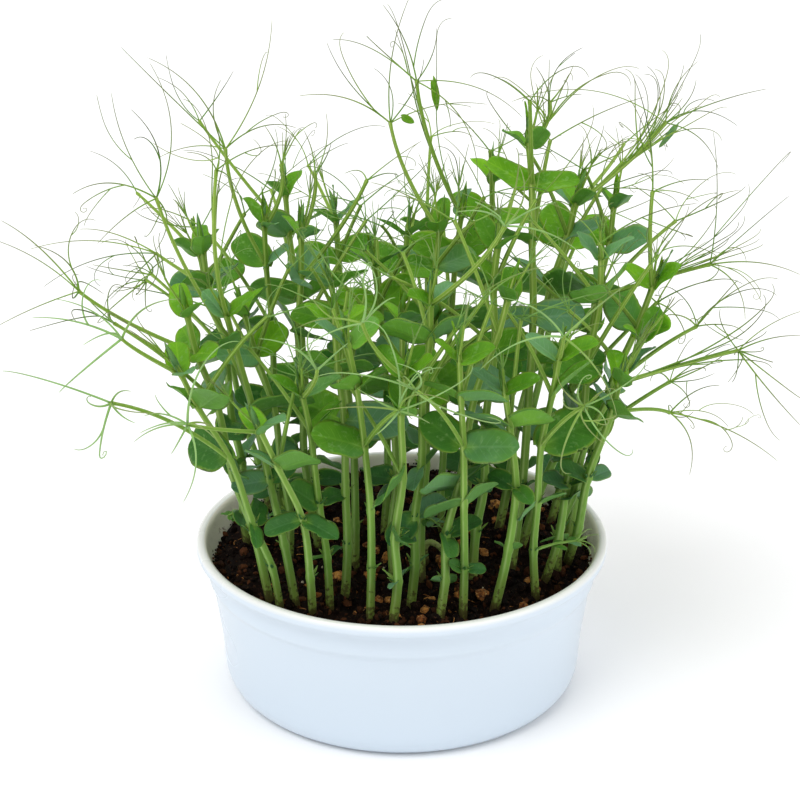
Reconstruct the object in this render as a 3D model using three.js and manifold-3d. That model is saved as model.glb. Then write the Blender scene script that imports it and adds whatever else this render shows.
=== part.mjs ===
// Pea shoots growing in a round white dish of potting soil.
// Millimetres, +Z up. The origin is the centre of the dish's flat base.
// Every shoot is one leafy stem: the stem, its pairs of stipules, its leaf stalks and the
// tendrils at their ends are fused into one solid that stands in a plain hole in the soil.

import * as THREE from 'three';
import { mergeVertices } from 'three/addons/utils/BufferGeometryUtils.js';
import Module from 'manifold-3d';

const wasm = await Module();
wasm.setup();

// ---------------------------------------------------------------- driving dimensions

const DISH_HEIGHT = 56.2;
const DISH_SEGMENTS = 40;
// Radius and height along the dish's wall: from the base up the outside, over the lip and
// down the inside to the floor.
const DISH_WALL = [
  [59.4, 0], [63.6, 1.6], [66, 6.2], [66.8, 18.8], [69.8, 41.2], [71.1, 43.3], [71, 47],
  [73, 51.5], [75, 52.8], [75, 55.3], [74, DISH_HEIGHT], [72.4, DISH_HEIGHT],
  [70.9, 52.8], [68.1, 45], [64.1, 18], [62.8, 7], [58, 3],
];

// The top of the soil lies higher at the back. Its rings end a thin gap inside the dish, and
// its side goes down by radius and height.
const SOIL_LEVEL = 45;
const SOIL_RISE = 1.5;
const SOIL_SLOPE = 0.05;
const SOIL_RINGS = [13, 26, 39, 53, 67.1];
const SOIL_SIDE = [[63.5, 18], [56, 3.4]];
const SOIL_SECTORS = 20;
const SOIL_BUMP = 1.3;
const CHIP_COUNT = 16;
const CHIP_TRIES = 400;
const CHIP_SIZE = 2.1;
const CHIP_SPACING = 6;
const CHIP_AREA_RADIUS = 58;

const STEM_SIDES = 5;
const SIDE_ANGLE = 360 / STEM_SIDES;
const STEM_SINK = 9;
const STEM_RADIUS = 1.6;
const STEM_TIP_RADIUS = 1.0;
const BUD_LENGTH = 9;
const NODE_LENGTH = 2.6;
const HOLE_CLEARANCE = 0.45;
const NODE_SHIFT = 0.8;
// Gaps between the leafy nodes from the tip down, then the heights of the two bare nodes as
// shares of the stem left under the leafy ones.
const NODE_GAPS = [13, 22, 28];
const BARE_NODES = [[0.58, 0.7], [0.26, 0.36]];
// Stems shorter than the first height have two leafy nodes, taller than the second four.
const LEAFY_HEIGHTS = [88, 112];

const STALK_RADIUS = 0.9;
const STALK_TIP_RADIUS = 0.65;
const STAR_LENGTH = 1.8;
const TENDRIL_RADIUS = 0.45;
const TENDRIL_STEPS = 24;
const TENDRIL_PIECES = 3;

const BLADE_THICKNESS = 1;
const PIECE_GAP = 0.35;

// One row a shoot: foot x, y, then tip x, y, z, then the sway of its middle in x, y, then
// the compass angle in degrees of the leaf under the tip.
const SHOOTS = [
  [-46, -36, -69, -46, 154, 0, 3, 190],
  [-42, -42, -70, -60, 139, 4, 0, 215],
  [-37, -38, -57, -40, 152, 1, 2, 110],
  [-31, -44, -45, -64, 121, 5, 0, 230],
  [-41, -9, -54, -10, 142, 4, 2, 150],
  [-31, 0, -35, 6, 165, -3, 0, 60],
  [-25, -40, -32, -54, 129, 1, 2, 300],
  [-20, -34, -22, -42, 149, 2, 0, 250],
  [-17, -14, -24, -12, 153, 3, 0, 80],
  [-11, -47, -17, -56, 147, 3, 0, 280],
  [-7, 9, -10, 20, 151, 3, 2, 100],
  [-3, -51, 1, -60, 138, 0, 2, 170],
  [3, -40, 9, -47, 158, 0, 0, 310],
  [-3, -26, 0, -21, 143, -1, 0, 20],
  [7, -20, 13, 4, 168, -1, 2, 130],
  [13, -48, 34, -42, 158, -4, 0, 330],
  [21, -45, 18, -62, 144, 1, 2, 260],
  [15, 14, 21, 18, 170, -2, 0, 110],
  [32, -41, 33, -54, 131, 5, 0, 240],
  [25, -24, 32, -16, 168, 1, 0, 200],
  [39, -16, 43, 2, 198, 4, 0, 70],
  [47, -33, 50, -54, 142, -3, 0, 290],
  [51, -21, 66, -22, 166, 3, 0, 320],
  [56, -15, 81, -22, 137, -6, 0, 340],
  [60, -8, 72, -36, 127, -1, -2, 320],
  [61, 4, 87, 0, 149, -3, 0, 20],
  [-45, 19, -48, 10, 168, 0, 2, 120],
  [43, 0, 69, 8, 143, 2, 2, 0],
  [-57, 4, -70, 12, 158, 2, 0, 170],
  [-33, 36, -44, 62, 166, 1, 0, 130],
  [-18, 54, -26, 84, 150, 0, 2, 110],
  [0, 40, 2, 58, 152, -2, 0, 80],
  [8, 60, 10, 90, 144, 1, 2, 95],
  [24, 38, 34, 60, 172, 2, 0, 60],
  [36, 16, 62, 26, 172, -2, 0, 40],
  [44, 40, 66, 70, 160, 0, 2, 50],
  [56, 22, 78, 44, 166, 1, 0, 30],
  [-50, 30, -76, 50, 146, 0, 2, 160],
];

// One row a long spray: its shoot, the node that its stalk leaves (0 at the tip), the star
// where the stalk splits, then the ends of its tendrils as x, y, z and sideways bow.
const SPRAYS = [
  [0, 1, [-102, -52, 164], [-127, -60, 155, 1], [-129, -48, 180, 2], [-129, -36, 183, -3]],
  [1, 0, [-87, -66, 153], [-106, -72, 168, 3], [-116, -60, 158, 2], [-97, -78, 155, 4]],
  [2, 1, [-79, -32, 189], [-90, -40, 225, -3], [-108, -24, 188, -5], [-97, -44, 177, 5]],
  [2, 0, [-58, -44, 201], [-62, -40, 222, 3], [-32, -50, 210, 3], [-66, -54, 209, 2]],
  [3, 0, [-66, -80, 130], [-83, -80, 124, 2], [-67, -92, 109, 4], [-78, -88, 136, -2]],
  [5, 0, [-30, 10, 187], [-34, 16, 201, 1], [-24, 6, 199, 1], [-26, 12, 208, 2]],
  [5, 1, [-12, 0, 187], [7, 4, 200, 1], [-1, -14, 192, 2]],
  [6, 0, [-26, -78, 147], [-43, -86, 160, 3], [-16, -90, 160, 2]],
  [11, 0, [-12, -84, 164], [-31, -96, 159, 3], [-16, -90, 186, 3]],
  [12, 0, [31, -66, 189], [45, -80, 200, 2], [56, -72, 180, 3], [15, -84, 198, 3]],
  [14, 0, [-4, 8, 205], [-36, 14, 213, 4], [3, 4, 249, -3], [30, 20, 209, -3]],
  [17, 0, [5, 20, 217], [-7, 30, 242, 2], [43, 30, 202, 5], [26, 10, 182, 8]],
  [20, 0, [50, 8, 212], [58, 12, 224, 1], [62, 18, 213, 1], [44, -2, 226, 1]],
  [21, 0, [49, -76, 157], [66, -84, 176, 3], [66, -80, 132, 3], [28, -86, 173, 3]],
  [22, 0, [63, -40, 176], [92, -50, 192, 3], [68, -56, 156, 3], [42, -46, 192, 3]],
  [24, 0, [110, -40, 140], [129, -44, 155, 2], [132, -34, 143, 2], [130, -52, 118, -3]],
  [24, 1, [92, -22, 111], [129, -30, 96, 3], [102, -12, 83, 4]],
  [25, 0, [84, -8, 185], [101, -20, 192, 2], [73, -10, 219, 3], [102, 2, 179, -2]],
  [26, 0, [-42, 15, 189], [-48, 20, 202, 1], [-40, 12, 208, 1]],
  [26, 1, [-60, 4, 197], [-95, 10, 231, -2], [-42, -8, 243, 4], [-82, -6, 196, 3]],
  [27, 0, [108, 8, 155], [104, -2, 205, 2], [136, 16, 178, 4], [143, 18, 148, 3]],
  [28, 1, [-88, 22, 155], [-128, 12, 145, 5], [-136, 30, 154, 4], [-95, 16, 141, 5]],
  [34, 0, [95, 42, 198], [107, 50, 219, -3], [135, 60, 207, 2], [115, 40, 181, 4]],
  [30, 0, [-38, 112, 166], [-52, 132, 178, 3], [-22, 136, 170, 3]],
  [32, 0, [12, 120, 176], [2, 142, 190, 3], [30, 138, 172, 3]],
  [35, 0, [88, 98, 178], [108, 112, 190, 3], [84, 120, 168, 3]],
  [37, 0, [-102, 74, 164], [-122, 86, 178, 3], [-108, 96, 152, 3]],
  [29, 1, [-78, 84, 190], [-96, 100, 204, 3], [-66, 104, 206, 2]],
];

// ---------------------------------------------------------------- small tools

const V = (x, y, z) => new THREE.Vector3(x, y, z);
const UP = V(0, 0, 1);
const TURN = 2 * Math.PI;
const rad = THREE.MathUtils.degToRad;
const STEM_STEP = TURN / STEM_SIDES;

// A seeded draw between 0 and 1.
function random(seed) {
  let state = seed | 0;
  return () => {
    state = (state + 0x6d2b79f5) | 0;
    let mixed = Math.imul(state ^ (state >>> 15), 1 | state);
    mixed = (mixed + Math.imul(mixed ^ (mixed >>> 7), 61 | mixed)) ^ mixed;
    return ((mixed ^ (mixed >>> 14)) >>> 0) / 4294967296;
  };
}

const between = (draw, low, high) => low + (high - low) * draw();

function heading(azimuth, elevation) {
  const flat = Math.cos(rad(elevation));
  const height = Math.sin(rad(elevation));
  return V(Math.cos(rad(azimuth)) * flat, Math.sin(rad(azimuth)) * flat, height);
}

// The direction nearest to `wish` that is square to `axis`.
function squareTo(axis, wish) {
  return wish.clone().addScaledVector(axis, -wish.dot(axis)).normalize();
}

// Points no more than `step` apart along a polyline.
function beads(points, step) {
  const out = [points[0]];
  for (let i = 1; i < points.length; i += 1) {
    const count = Math.ceil(points[i].distanceTo(points[i - 1]) / step);
    for (let k = 1; k <= count; k += 1) {
      out.push(points[i - 1].clone().lerp(points[i], k / count));
    }
  }
  return out;
}

// ---------------------------------------------------------------- keeping pieces clear

const CELL = 6;
const START_REACH = 6;
const OWN_SHARE = 0.5;

// Holds the balls that stand for what is already placed, each with its owner.
class Clearance {
  constructor() {
    this.cells = new Map();
  }

  static key(x, y, z) {
    return (x + 100) + 200 * (y + 100) + 40000 * (z + 100);
  }

  add(points, radius, owner) {
    for (const point of points) {
      const key = Clearance.key(...point.toArray().map((value) => Math.floor(value / CELL)));
      if (!this.cells.has(key)) this.cells.set(key, []);
      this.cells.get(key).push({ point, radius, owner });
    }
  }

  // Pieces of one owner may touch close to `start`, where the new one grows.
  isFree(points, radius, owner, start) {
    return points.every((point) => {
      const near = point.distanceTo(start) < START_REACH;
      return this.pointIsFree(point, radius, owner, near);
    });
  }

  pointIsFree(point, radius, owner, near) {
    const [i, j, k] = point.toArray().map((value) => Math.floor(value / CELL));
    for (let x = i - 1; x <= i + 1; x += 1) {
      for (let y = j - 1; y <= j + 1; y += 1) {
        for (let z = k - 1; z <= k + 1; z += 1) {
          for (const ball of this.cells.get(Clearance.key(x, y, z)) ?? []) {
            const own = ball.owner === owner;
            if (own && near) continue;
            const reach = ball.radius + radius * (own ? OWN_SHARE : 1) + PIECE_GAP;
            if (ball.point.distanceTo(point) < reach) return false;
          }
        }
      }
    }
    return true;
  }
}

// ---------------------------------------------------------------- the shape of a shoot

function stemRadius(z, height) {
  const t = Math.max(0, (z - SOIL_LEVEL) / height);
  return STEM_RADIUS + (STEM_TIP_RADIUS - STEM_RADIUS) * t;
}

// The stem runs through its nodes, from below the soil to the bud above its tip.
function planStem(row, index) {
  const [footX, footY, tipX, tipY, tipZ, swayX, swayY, turn] = row;
  const draw = random(1000 * index + 1);
  const height = tipZ - SOIL_LEVEL;
  const leafy = 2 + LEAFY_HEIGHTS.filter((limit) => height > limit).length;
  const levels = [tipZ];
  for (let k = 1; k < leafy; k += 1) {
    levels.push(levels[k - 1] - NODE_GAPS[k - 1] * between(draw, 0.85, 1.15));
  }
  const bare = levels[leafy - 1] - SOIL_LEVEL;
  for (const range of BARE_NODES) levels.push(SOIL_LEVEL + bare * between(draw, ...range));
  const at = (z, shift) => {
    const t = (z - SOIL_LEVEL) / height;
    const bow = 4 * t * (1 - t);
    const x = footX + (tipX - footX) * t + swayX * bow;
    const y = footY + (tipY - footY) * t + swayY * bow;
    return V(x + shift * Math.cos(rad(turn)), y + shift * Math.sin(rad(turn)), z);
  };
  const nodes = levels.map((z, k) => at(z, k === 0 ? 0 : NODE_SHIFT * (k % 2 ? 1 : -1)));
  const foot = at(SOIL_LEVEL, 0);
  const root = at(SOIL_LEVEL - STEM_SINK, 0);
  const lean = nodes[0].clone().sub(nodes[1]).normalize();
  const bud = nodes[0].clone().addScaledVector(lean, BUD_LENGTH);
  const points = [root, foot, ...nodes.slice().reverse(), bud];
  return { index, turn, leafy, height, nodes, points, stalks: [], blades: [] };
}

// A gentle bow from one point to another.
function bowed(start, end, bow, pieces) {
  const points = [];
  for (let k = 0; k <= pieces; k += 1) {
    const u = k / pieces;
    points.push(start.clone().lerp(end, u).addScaledVector(bow, 4 * u * (1 - u)));
  }
  return points;
}

// A thread that bends steadily to one side and then curls.
const CURL_START = 0.62;
function curled(start, ahead, side, length, bend, curl) {
  const points = [start.clone()];
  for (let k = 0; k < TENDRIL_STEPS; k += 1) {
    const u = (k + 0.5) / TENDRIL_STEPS;
    const tail = Math.max(0, (u - CURL_START) / (1 - CURL_START));
    const angle = rad(bend * u + curl * tail * tail);
    const way = ahead.clone().multiplyScalar(Math.cos(angle)).addScaledVector(side, Math.sin(angle));
    points.push(points[k].clone().addScaledVector(way, length / TENDRIL_STEPS));
  }
  return points;
}

const CHORD_STEPS = TENDRIL_STEPS / TENDRIL_PIECES;
const chordsOf = (points) => points.filter((point, k) => k % CHORD_STEPS === 0);

// A point on a blade: `along` from 0 at its root to 1 at its tip, `across` from -1 to 1 of
// half its width, `off` the distance from its middle surface.
function bladePoint(blade, along, across, off) {
  const half = blade.width / 2;
  const rise = half * blade.fold * Math.abs(across) - blade.length * blade.droop * along * along;
  return blade.root.clone()
    .addScaledVector(blade.ahead, blade.length * along)
    .addScaledVector(blade.side, half * across)
    .addScaledVector(blade.face, rise + off);
}

// Half the width of a blade's outline, in parts of its greatest half width.
const SHOULDER = 0.28;
const TAPER = 0.72;
const TAPER_WIDTH = 0.82;
function halfWidth(along) {
  if (along < SHOULDER) return along / SHOULDER;
  if (along < TAPER) return 1 + (TAPER_WIDTH - 1) * (along - SHOULDER) / (TAPER - SHOULDER);
  return TAPER_WIDTH * (1 - along) / (1 - TAPER);
}

const BLADE_BEAD = 2.4;
function bladeBeads(blade) {
  const out = [];
  const rows = Math.ceil(blade.length / BLADE_BEAD);
  for (let i = 1; i <= rows; i += 1) {
    const along = i / rows;
    const half = halfWidth(along);
    const columns = Math.ceil(half * blade.width / BLADE_BEAD);
    for (let j = 0; j <= columns; j += 1) {
      const across = columns ? half * (2 * j / columns - 1) : 0;
      out.push(bladePoint(blade, along, across, 0));
    }
  }
  return out;
}

// The blades at a node, by its rank below the tip. The tilt turns their upper faces from
// straight up towards the node's leaf. It ends where elevation and tilt together would bring
// the inner edge to the stem.
const BLADE_SIZES = [
  { length: [12, 15], width: [7, 9], elevation: [30, 50], tilt: [5, 30], fold: 0.35 },
  { length: [15, 18], width: [10.5, 13], elevation: [15, 40], tilt: [20, 50], fold: 0.25 },
  { length: [17, 21], width: [12.5, 15], elevation: [0, 34], tilt: [25, 62], fold: 0.2 },
  { length: [13, 17], width: [9.5, 12], elevation: [-5, 30], tilt: [25, 62], fold: 0.2 },
];
const BLADE_TRIES = 16;
const BLADE_SPREAD = [80, 102];
const BLADE_ROOM = 78;
const BLADE_FOLD = [0.6, 1.4];
const BLADE_DROOP = 0.22;
const BEAD_RADIUS = 1.5;

function makeBlade(shoot, rank, hand, attempt) {
  const draw = random(1000 * shoot.index + 100 + 40 * rank + 20 * hand + attempt);
  const size = BLADE_SIZES[rank];
  const loose = attempt * 1.4;
  const sign = hand ? 1 : -1;
  const spread = between(draw, ...BLADE_SPREAD) + between(draw, -loose / 3, loose);
  const azimuth = shoot.leafTurns[rank] + spread * sign;
  const elevation = between(draw, size.elevation[0] - loose / 2, size.elevation[1] + loose / 3);
  const shrink = 1 - 0.025 * attempt;
  const ahead = heading(azimuth, elevation);
  const tilt = rad(Math.min(between(draw, ...size.tilt), BLADE_ROOM - elevation));
  const toward = heading(shoot.leafTurns[rank], 0).multiplyScalar(Math.sin(tilt));
  const face = squareTo(ahead, toward.addScaledVector(UP, Math.cos(tilt)));
  const side = new THREE.Vector3().crossVectors(face, ahead);
  const node = shoot.nodes[rank];
  const out = heading(shoot.leafTurns[rank] + SIDE_ANGLE * sign, 0);
  const flank = stemRadius(node.z, shoot.height) * Math.cos(STEM_STEP / 2);
  return {
    root: node.clone().addScaledVector(out, flank),
    ahead,
    side,
    face,
    length: between(draw, ...size.length) * shrink,
    width: between(draw, ...size.width) * shrink,
    fold: size.fold * between(draw, ...BLADE_FOLD),
    droop: between(draw, 0, BLADE_DROOP),
    rank,
    hand,
  };
}

function placeBlades(shoots, field, rank) {
  for (const shoot of shoots) {
    if (rank >= shoot.leafy) continue;
    for (const hand of [0, 1]) {
      for (let attempt = 0; attempt < BLADE_TRIES; attempt += 1) {
        const blade = makeBlade(shoot, rank, hand, attempt);
        const balls = bladeBeads(blade);
        if (!field.isFree(balls, BEAD_RADIUS, shoot.index, blade.root)) continue;
        field.add(balls, BEAD_RADIUS, shoot.index);
        shoot.blades.push(blade);
        break;
      }
    }
  }
}

const STALK_PIECES = 2;
const STALK_TRIES = 12;
const TENDRIL_TRIES = 10;
const BEAD_STEP = 1.5;

function placeStalk(shoot, field, rank, seed, propose) {
  for (let attempt = 0; attempt < STALK_TRIES; attempt += 1) {
    const draw = random(1000 * shoot.index + seed + attempt);
    const { end, bow } = propose(draw, attempt);
    const points = bowed(shoot.nodes[rank], end, bow, STALK_PIECES);
    const balls = beads(points, BEAD_STEP);
    if (!field.isFree(balls, STALK_RADIUS, shoot.index, points[0])) continue;
    field.add(balls, STALK_RADIUS, shoot.index);
    const stalk = { rank, points, tendrils: [] };
    shoot.stalks.push(stalk);
    return stalk;
  }
  return null;
}

function placeTendril(shoot, field, stalk, seed, propose) {
  for (let attempt = 0; attempt < TENDRIL_TRIES; attempt += 1) {
    const points = propose(random(1000 * shoot.index + seed + attempt), attempt);
    const chords = chordsOf(points);
    const balls = beads(chords, BEAD_STEP);
    if (!field.isFree(balls, TENDRIL_RADIUS, shoot.index, points[0])) continue;
    field.add(balls, TENDRIL_RADIUS, shoot.index);
    stalk.tendrils.push({ points, chords });
    return;
  }
}

// The long sprays whose stars and tendril ends are set.
function placeSprays(shoots, field) {
  SPRAYS.forEach(([index, rank, star, ...ends]) => {
    const shoot = shoots[index];
    const goal = V(...star);
    const node = shoot.nodes[rank];
    const across = goal.clone().sub(node);
    shoot.leafTurns[rank] = THREE.MathUtils.radToDeg(Math.atan2(across.y, across.x));
    const stalk = placeStalk(shoot, field, rank, 300 + 20 * rank, (draw, attempt) => {
      const out = heading(shoot.leafTurns[rank] + between(draw, -15, 15), between(draw, 0, 30));
      return { end: goal, bow: out.multiplyScalar(3 + attempt) };
    });
    if (!stalk) return;
    ends.forEach(([x, y, z, bow], k) => {
      const end = V(x, y, z);
      const side = squareTo(end.clone().sub(goal).normalize(), V(bow > 0 ? 1 : -1, 0, 1));
      placeTendril(shoot, field, stalk, 400 + 40 * rank + 12 * k, (draw, attempt) => {
        const loose = V(between(draw, -1, 1), between(draw, -1, 1), between(draw, -1, 1));
        const sway = side.clone().multiplyScalar(Math.abs(bow)).addScaledVector(loose, attempt);
        return bowed(goal, end, sway, TENDRIL_STEPS);
      });
    });
  });
}

// The other leaf stalks follow the stem's two ranks of leaves, each with two tendrils.
const STALK_RANKS = [1, 2];
const STALK_LENGTHS = [22, 34, 44, 36];
const LEAF_SIZES = { reach: [0.85, 1.2], elevation: [35, 65], bow: [0.02, 0.07] };
const TENDRIL_SIZES = { spread: [25, 60], length: [24, 40], bend: [10, 55], curl: [0, 90] };
function placeLeaves(shoots, field, rank) {
  for (const shoot of shoots) {
    if (rank >= shoot.leafy) continue;
    if (shoot.stalks.some((stalk) => stalk.rank === rank)) continue;
    const stalk = placeStalk(shoot, field, rank, 600 + 20 * rank, (draw, attempt) => {
      const loose = 6 * attempt;
      const azimuth = shoot.leafTurns[rank] + between(draw, -loose, loose);
      const shrink = 1 - 0.03 * attempt;
      const reach = STALK_LENGTHS[rank] * between(draw, ...LEAF_SIZES.reach) * shrink;
      const way = heading(azimuth, between(draw, ...LEAF_SIZES.elevation));
      const end = shoot.nodes[rank].clone().addScaledVector(way, reach);
      return { end, bow: UP.clone().multiplyScalar(between(draw, ...LEAF_SIZES.bow) * reach) };
    });
    if (!stalk) continue;
    const [root, middle, star] = stalk.points;
    const across = middle.clone().sub(root);
    shoot.leafTurns[rank] = THREE.MathUtils.radToDeg(Math.atan2(across.y, across.x));
    const ahead = star.clone().sub(middle).normalize();
    const level = new THREE.Vector3().crossVectors(ahead, UP).normalize();
    for (const hand of [0, 1]) {
      placeTendril(shoot, field, stalk, 700 + 40 * rank + 12 * hand, (draw, attempt) => {
        const spread = rad(between(draw, ...TENDRIL_SIZES.spread));
        const sign = hand ? 1 : -1;
        const way = ahead.clone().multiplyScalar(Math.cos(spread))
          .addScaledVector(level, sign * Math.sin(spread));
        const spin = between(draw, 0, TURN);
        const wish = V(Math.cos(spin), Math.sin(spin), between(draw, -1, 0.6));
        const length = between(draw, ...TENDRIL_SIZES.length) * (1 - 0.05 * attempt);
        const bend = between(draw, ...TENDRIL_SIZES.bend);
        const curl = between(draw, ...TENDRIL_SIZES.curl);
        return curled(star, way, squareTo(way, wish), length, bend, curl);
      });
    }
  }
}

function planShoots() {
  const field = new Clearance();
  const shoots = SHOOTS.map(planStem);
  for (const shoot of shoots) {
    const draw = random(1000 * shoot.index + 2);
    shoot.leafTurns = shoot.nodes.map((node, rank) => (
      shoot.turn + 180 * rank + between(draw, -22, 22)
    ));
    field.add(beads(shoot.points, BEAD_STEP), STEM_RADIUS, shoot.index);
  }
  placeSprays(shoots, field);
  for (const rank of [0, 1, 2, 3]) {
    if (STALK_RANKS.includes(rank)) placeLeaves(shoots, field, rank);
    placeBlades(shoots, field, rank);
  }
  return shoots;
}

// ---------------------------------------------------------------- solids

// A closed skin of triangles. It grows by pushing tubes out of its four-sided faces.
class Skin {
  constructor() {
    this.points = [];
    this.faces = [];
  }

  ring(points) {
    const first = this.points.length;
    this.points.push(...points);
    return points.map((point, k) => first + k);
  }

  // The wall between two rings. The sides listed in `open` are left for what grows there.
  band(lower, upper, open = []) {
    lower.forEach((corner, s) => {
      if (open.includes(s)) return;
      const [a, b, c, d] = Skin.side(lower, upper, s);
      this.faces.push([a, b, c], [a, c, d]);
    });
  }

  // The wall between two rings that are half a side out of step.
  turnedBand(lower, upper) {
    lower.forEach((corner, s) => {
      const [a, b, c, d] = Skin.side(lower, upper, s);
      this.faces.push([a, b, d], [b, c, d]);
    });
  }

  static side(lower, upper, s) {
    const next = (s + 1) % lower.length;
    return [lower[s], lower[next], upper[next], upper[s]];
  }

  centre(ring) {
    return ring.reduce((sum, k) => sum.add(this.points[k]), V(0, 0, 0)).divideScalar(ring.length);
  }

  // Closes a ring with a point, or flat where no point is given.
  close(ring, point) {
    if (!point) {
      for (let s = 2; s < ring.length; s += 1) this.faces.push([ring[0], ring[s - 1], ring[s]]);
      return;
    }
    const [end] = this.ring([point]);
    ring.forEach((corner, s) => this.faces.push([corner, ring[(s + 1) % ring.length], end]));
  }

  grow(start, sections, point) {
    let last = start;
    for (const corners of sections) {
      const next = this.ring(corners);
      this.band(last, next);
      last = next;
    }
    this.close(last, point);
  }

  geometry() {
    const geometry = new THREE.BufferGeometry();
    const numbers = this.points.flatMap((point) => point.toArray());
    geometry.setAttribute('position', new THREE.Float32BufferAttribute(numbers, 3));
    geometry.setIndex(this.faces.flat());
    return geometry;
  }
}

// The corners of a section square to `axis`, counted round it from `aside`.
function section(centre, axis, aside, radius, sides, start) {
  const first = squareTo(axis, aside);
  const second = new THREE.Vector3().crossVectors(axis, first);
  return Array.from({ length: sides }, (none, s) => {
    const angle = start + TURN * s / sides;
    return centre.clone()
      .addScaledVector(first, radius * Math.cos(angle))
      .addScaledVector(second, radius * Math.sin(angle));
  });
}

// Square sections through the points after the first, with the side that faces `top` on top.
function squareSections(points, radii, top) {
  let above = top;
  return points.slice(1).map((point, k) => {
    const back = points[k];
    const front = points[Math.min(points.length - 1, k + 2)];
    const axis = front.clone().sub(back).normalize();
    above = squareTo(axis, above);
    return section(point, axis, above, radii[k], 4, TURN * 3 / 8);
  });
}

// ---------------------------------------------------------------- the solid of a shoot

// A blade is a thin lens with a sharp edge, folded along its midrib.
function growBlade(skin, side, blade) {
  const half = BLADE_THICKNESS / 2;
  const [shoulder, taper] = [SHOULDER, TAPER].map((along) => {
    const width = halfWidth(along);
    return [
      bladePoint(blade, along, 0, -half),
      bladePoint(blade, along, width, 0),
      bladePoint(blade, along, 0, half),
      bladePoint(blade, along, -width, 0),
    ];
  });
  const first = skin.ring(shoulder);
  skin.turnedBand(side, first);
  skin.grow(first, [taper], bladePoint(blade, 1, 0, 0));
}

function growTendril(skin, side, chords, top) {
  const radii = chords.map(() => TENDRIL_RADIUS);
  skin.grow(side, squareSections(chords, radii, top).slice(0, -1), chords.at(-1));
}

// The stalk ends in a star: the tendril that best keeps its direction is its end, and each
// of the others leaves the side that faces its way.
function growStalk(skin, side, stalk) {
  const [root, middle, star] = stalk.points;
  const way = star.clone().sub(middle).normalize();
  const neck = star.clone().addScaledVector(way, -STAR_LENGTH);
  const radii = [(STALK_RADIUS + STALK_TIP_RADIUS) / 2, STALK_TIP_RADIUS, STALK_TIP_RADIUS];
  const sections = squareSections([root, middle, neck, star], radii, UP);
  const rings = sections.map((points) => skin.ring(points));
  skin.band(side, rings[0]);
  skin.band(rings[0], rings[1]);
  const open = [];
  const ways = stalk.tendrils.map(({ chords }) => chords[1].clone().sub(chords[0]).normalize());
  const order = [...ways.keys()].sort((a, b) => ways[b].dot(way) - ways[a].dot(way));
  for (const k of order.slice(1)) {
    const sides = [0, 1, 2, 3].filter((s) => !open.includes(s));
    const facing = (s) => skin.centre(Skin.side(rings[1], rings[2], s)).sub(neck).dot(ways[k]);
    const best = sides.reduce((found, s) => (facing(s) > facing(found) ? s : found));
    open.push(best);
    growTendril(skin, Skin.side(rings[1], rings[2], best), stalk.tendrils[k].chords, way);
  }
  skin.band(rings[1], rings[2], open);
  if (order.length) {
    const above = skin.points[rings[2][2]].clone().sub(skin.points[rings[2][1]]);
    growTendril(skin, rings[2], stalk.tendrils[order[0]].chords, above);
  } else {
    skin.close(rings[2]);
  }
}

// The stem's rings turn slightly from node to node, so that one side faces each leaf stalk
// and the two beside it face the stipules.
function shootGeometry(shoot) {
  const skin = new Skin();
  const { points, nodes, leafy, height } = shoot;
  let turn = 0;
  let last = null;
  const addRing = (point, axis) => {
    const radius = stemRadius(point.z, height);
    return skin.ring(section(point, axis, heading(turn, 0), radius, STEM_SIDES, -STEM_STEP / 2));
  };
  points.slice(0, -1).forEach((point, k) => {
    const axis = points[k + 1].clone().sub(points[Math.max(0, k - 1)]).normalize();
    const rank = nodes.length + 1 - k;
    if (rank >= leafy) {
      const ring = addRing(point, axis);
      if (last) skin.band(last, ring);
      else skin.close([...ring].reverse());
      last = ring;
      return;
    }
    const faces = Math.round((shoot.leafTurns[rank] - turn) / SIDE_ANGLE);
    turn = shoot.leafTurns[rank] - SIDE_ANGLE * faces;
    const stalkSide = ((faces % STEM_SIDES) + STEM_SIDES) % STEM_SIDES;
    const lower = addRing(point.clone().addScaledVector(axis, -NODE_LENGTH / 2), axis);
    const upper = addRing(point.clone().addScaledVector(axis, NODE_LENGTH / 2), axis);
    skin.band(last, lower);
    const open = [];
    for (const blade of shoot.blades.filter((other) => other.rank === rank)) {
      const s = (stalkSide + (blade.hand ? 1 : STEM_SIDES - 1)) % STEM_SIDES;
      open.push(s);
      growBlade(skin, Skin.side(lower, upper, s), blade);
    }
    for (const stalk of shoot.stalks.filter((other) => other.rank === rank)) {
      open.push(stalkSide);
      growStalk(skin, Skin.side(lower, upper, stalkSide), stalk);
    }
    skin.band(lower, upper, open);
    last = upper;
  });
  skin.close(last, points.at(-1));
  return skin.geometry();
}

function toSolid(geometry) {
  geometry.deleteAttribute('normal');
  geometry.deleteAttribute('uv');
  const merged = mergeVertices(geometry, 1e-4);
  const vertProperties = new Float32Array(merged.attributes.position.array);
  const triVerts = new Uint32Array(merged.index.array);
  return new wasm.Manifold(new wasm.Mesh({ numProp: 3, vertProperties, triVerts }));
}

function toGeometry(solid) {
  const mesh = solid.getMesh();
  const geometry = new THREE.BufferGeometry();
  geometry.setAttribute('position', new THREE.Float32BufferAttribute(mesh.vertProperties, 3));
  geometry.setIndex(new THREE.Uint32BufferAttribute(mesh.triVerts, 1));
  geometry.computeVertexNormals();
  return geometry;
}

// ---------------------------------------------------------------- dish, soil, seedling

function latheUp(profile, segments) {
  const outline = profile.map(([r, z]) => new THREE.Vector2(r, z));
  return new THREE.LatheGeometry(outline, segments).rotateX(Math.PI / 2);
}

function dishGeometry() {
  const [baseZ, floorZ] = [DISH_WALL[0][1], DISH_WALL.at(-1)[1]];
  return toGeometry(toSolid(latheUp([[0, baseZ], ...DISH_WALL, [0, floorZ]], DISH_SEGMENTS)));
}

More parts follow.
